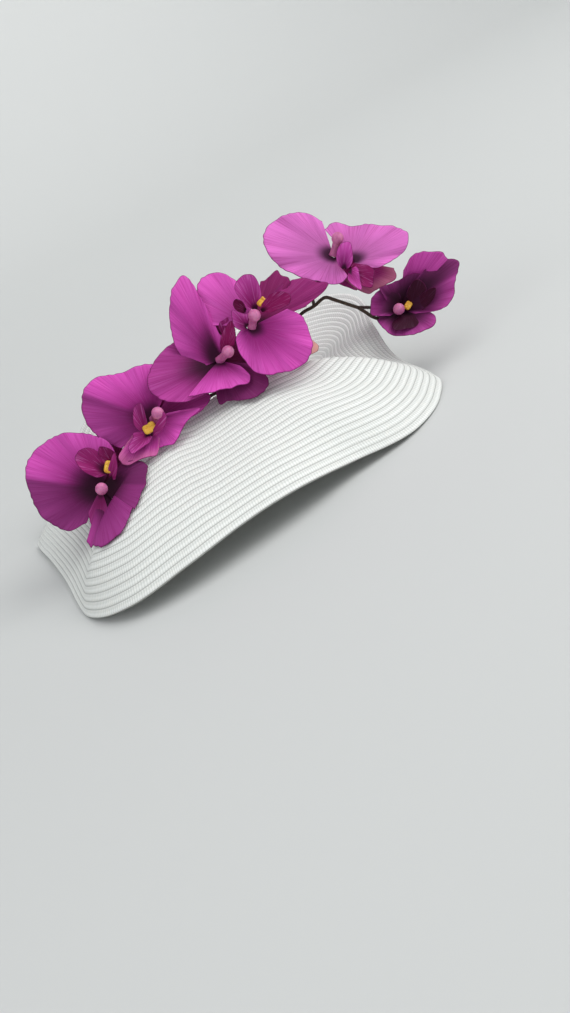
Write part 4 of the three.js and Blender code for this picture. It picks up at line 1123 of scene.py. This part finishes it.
def rounded_bar(start, end, width, thick, tip):
    """Rings of a flat bar that narrows to a part of its width, with the middles of its ends."""
    start, end = np.array(start, dtype=float), np.array(end, dtype=float)
    ahead = (end - start) / np.linalg.norm(end - start)
    aside = np.cross(ahead, (0.0, 0.0, 1.0))
    part = 0.5 - 0.5 * np.cos(np.linspace(0, np.pi, BAR_RINGS))[:, None, None]
    size = np.maximum(1 - (2 * part - 1) ** 40, 0.0) ** 0.5 * (1 - (1 - tip) * part ** 2)
    spin = np.linspace(0, 2 * np.pi, BAR_SIDES, endpoint=False)
    across = rounded(np.cos(spin), 0.6)[None, :, None] * aside * 0.5 * width
    upward = rounded(np.sin(spin), 0.6)[None, :, None] * np.array([0.0, 0.0, 0.5 * thick])
    middle = start + part * (end - start)
    return middle + np.maximum(size, BLUNT_END) * (across + upward), np.stack([start, end])


def add_comb():
    """A spine and its teeth, drawn flat and then tilted to where the frame has the comb."""
    low, high = (np.array(corner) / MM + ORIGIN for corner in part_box("comb"))
    cosine, sine = math.cos(COMB_SLOPE), math.sin(COMB_SLOPE)
    middle = np.array([0.5 * (low[0] + high[0]),
                       high[1] - 0.5 * (COMB_DEPTH * cosine + COMB_THICK * sine),
                       high[2] - 0.5 * (COMB_DEPTH * sine + COMB_THICK * cosine)])
    tilt = np.array([[1.0, 0.0, 0.0], [0.0, cosine, -sine], [0.0, sine, cosine]])
    half = 0.5 * COMB_LENGTH
    bars = [rounded_bar((-half, 0, 0), (half, 0, 0), COMB_DEPTH, COMB_THICK, 1.0)]
    for x in np.linspace(0.5 * TOOTH_WIDTH - half, half - 0.5 * TOOTH_WIDTH, TOOTH_COUNT):
        tip = (x, -0.5 * COMB_DEPTH - TOOTH_LENGTH, 0)
        bars.append(rounded_bar((x, 0, 0), tip, TOOTH_WIDTH, TOOTH_THICK, TOOTH_TIP))
    shape = Shape()
    for rings, ends in bars:
        shape.add_rings(rings @ tilt.T + middle, ends @ tilt.T + middle, np.ones(BAR_RINGS))
    shape.piece("moulded_hair_comb", comb_plastic, "comb_plastic", "comb")


add_comb()

# %% [markdown]
# ## Camera, floor and light
# The hat was photographed tilted, as it is worn. Here it rests level, so the camera rolls instead and
# looks down at the same angle to the hat. The floor runs up into a backdrop in one sweep, like a
# paper roll in a studio, and large soft lights from above give the even light of the photograph.

# %% Camera
PICTURE = (570, 1013)
FOCAL_PIXELS = 900.0
FILM_WIDTH = 36.0
CAMERA_RISE, CAMERA_ROLL, CAMERA_DISTANCE = 28.0, 28.0, 700.0
# Where the zero point of the drawing shows in the picture
DRAWING_PIXEL = (240.0, 480.0)


def add_camera():
    """The camera of the photograph, placed so that the drawing's zero point shows at its pixel."""
    right, up, back = (Vector(axis) for axis in tilted_axes(CAMERA_RISE, CAMERA_ROLL).T)
    aside = (DRAWING_PIXEL[0] - PICTURE[0] / 2) / FOCAL_PIXELS * CAMERA_DISTANCE
    above = -(DRAWING_PIXEL[1] - PICTURE[1] / 2) / FOCAL_PIXELS * CAMERA_DISTANCE
    place = (-Vector(ORIGIN) - aside * right - above * up + CAMERA_DISTANCE * back) * MM
    lens = bpy.data.cameras.new("camera")
    lens.sensor_fit = "HORIZONTAL"
    lens.sensor_width = FILM_WIDTH
    lens.lens = FILM_WIDTH * FOCAL_PIXELS / PICTURE[0]
    made = bpy.data.objects.new("camera", lens)
    made.matrix_world = Matrix.Translation(place) @ Matrix((right, up, back)).transposed().to_4x4()
    bpy.context.scene.collection.objects.link(made)
    bpy.context.scene.camera = made
    print("the camera looks down", CAMERA_RISE, "degrees from", [round(value, 2) for value in place])


add_camera()

# %% Floor and backdrop
FLOOR_COLOUR = paint_colour(209, 210, 208)
HALF_WIDTH = 8.0
FRONT = -6.0
WALL_TOP = 7.0
BEND_START, BEND_RADIUS = 1.4, 1.6
BEND_STEPS = 24


def add_stage():
    """One strip of paper: level, then round a quarter of a circle, then up."""
    board = Board("studio paper", Roughness=0.9, Specular_IOR_Level=0.1)
    board.paint("Base Color", FLOOR_COLOUR)
    profile = [(FRONT, 0.0)]
    for angle in np.linspace(0, np.pi / 2, BEND_STEPS):
        profile.append((BEND_START + BEND_RADIUS * math.sin(angle), BEND_RADIUS * (1 - math.cos(angle))))
    profile.append((BEND_START + BEND_RADIUS, WALL_TOP))
    points = [(x, y, z) for x in (-HALF_WIDTH, HALF_WIDTH) for y, z in profile]
    count = len(profile)
    faces = [(k, k + count, k + count + 1, k + 1) for k in range(count - 1)]
    mesh = bpy.data.meshes.new("studio_sweep")
    mesh.from_pydata(points, [], faces)
    mesh.polygons.foreach_set("use_smooth", np.ones(len(faces), dtype=bool))
    mesh.materials.append(board.material)
    sweep = bpy.data.objects.new("studio_sweep", mesh)
    bpy.context.scene.collection.objects.link(sweep)
    print("strips in the floor and backdrop:", len(faces))


add_stage()

# %% Soft light
SKY_COLOUR = (0.9, 0.95, 1.0, 1.0)
SKY_STRENGTH = 0.45


def add_softbox(name, place, size, power, aim=(0.0, 0.0, 0.06)):
    """A soft rectangular lamp that shines from its place to where it aims, at the hat if not said."""
    lamp = bpy.data.lights.new(name, "AREA")
    lamp.shape = "RECTANGLE"
    lamp.size, lamp.size_y = size
    lamp.energy = power
    made = bpy.data.objects.new(name, lamp)
    made.location = place
    made.rotation_euler = (Vector(aim) - Vector(place)).to_track_quat("-Z", "Y").to_euler()
    bpy.context.scene.collection.objects.link(made)
    print(name, "gives", power, "watts")


add_softbox("key_softbox", (1.7, -0.3, 1.6), (1.5, 1.5), 30)
add_softbox("top_softbox", (0.1, -0.5, 2.2), (1.6, 1.6), 13)
add_softbox("fill_softbox", (-1.5, -1.1, 1.2), (1.2, 1.2), 6)
add_softbox("backdrop_softbox", (-0.3, 1.3, 2.3), (3.0, 1.0), 32, aim=(-0.8, 2.9, 1.3))
world = bpy.context.scene.world or bpy.data.worlds.new("World")
bpy.context.scene.world = world
world.use_nodes = True
sky = world.node_tree.nodes["Background"]
sky.inputs["Color"].default_value = SKY_COLOUR
sky.inputs["Strength"].default_value = SKY_STRENGTH
bpy.context.scene.view_settings.view_transform = "Standard"
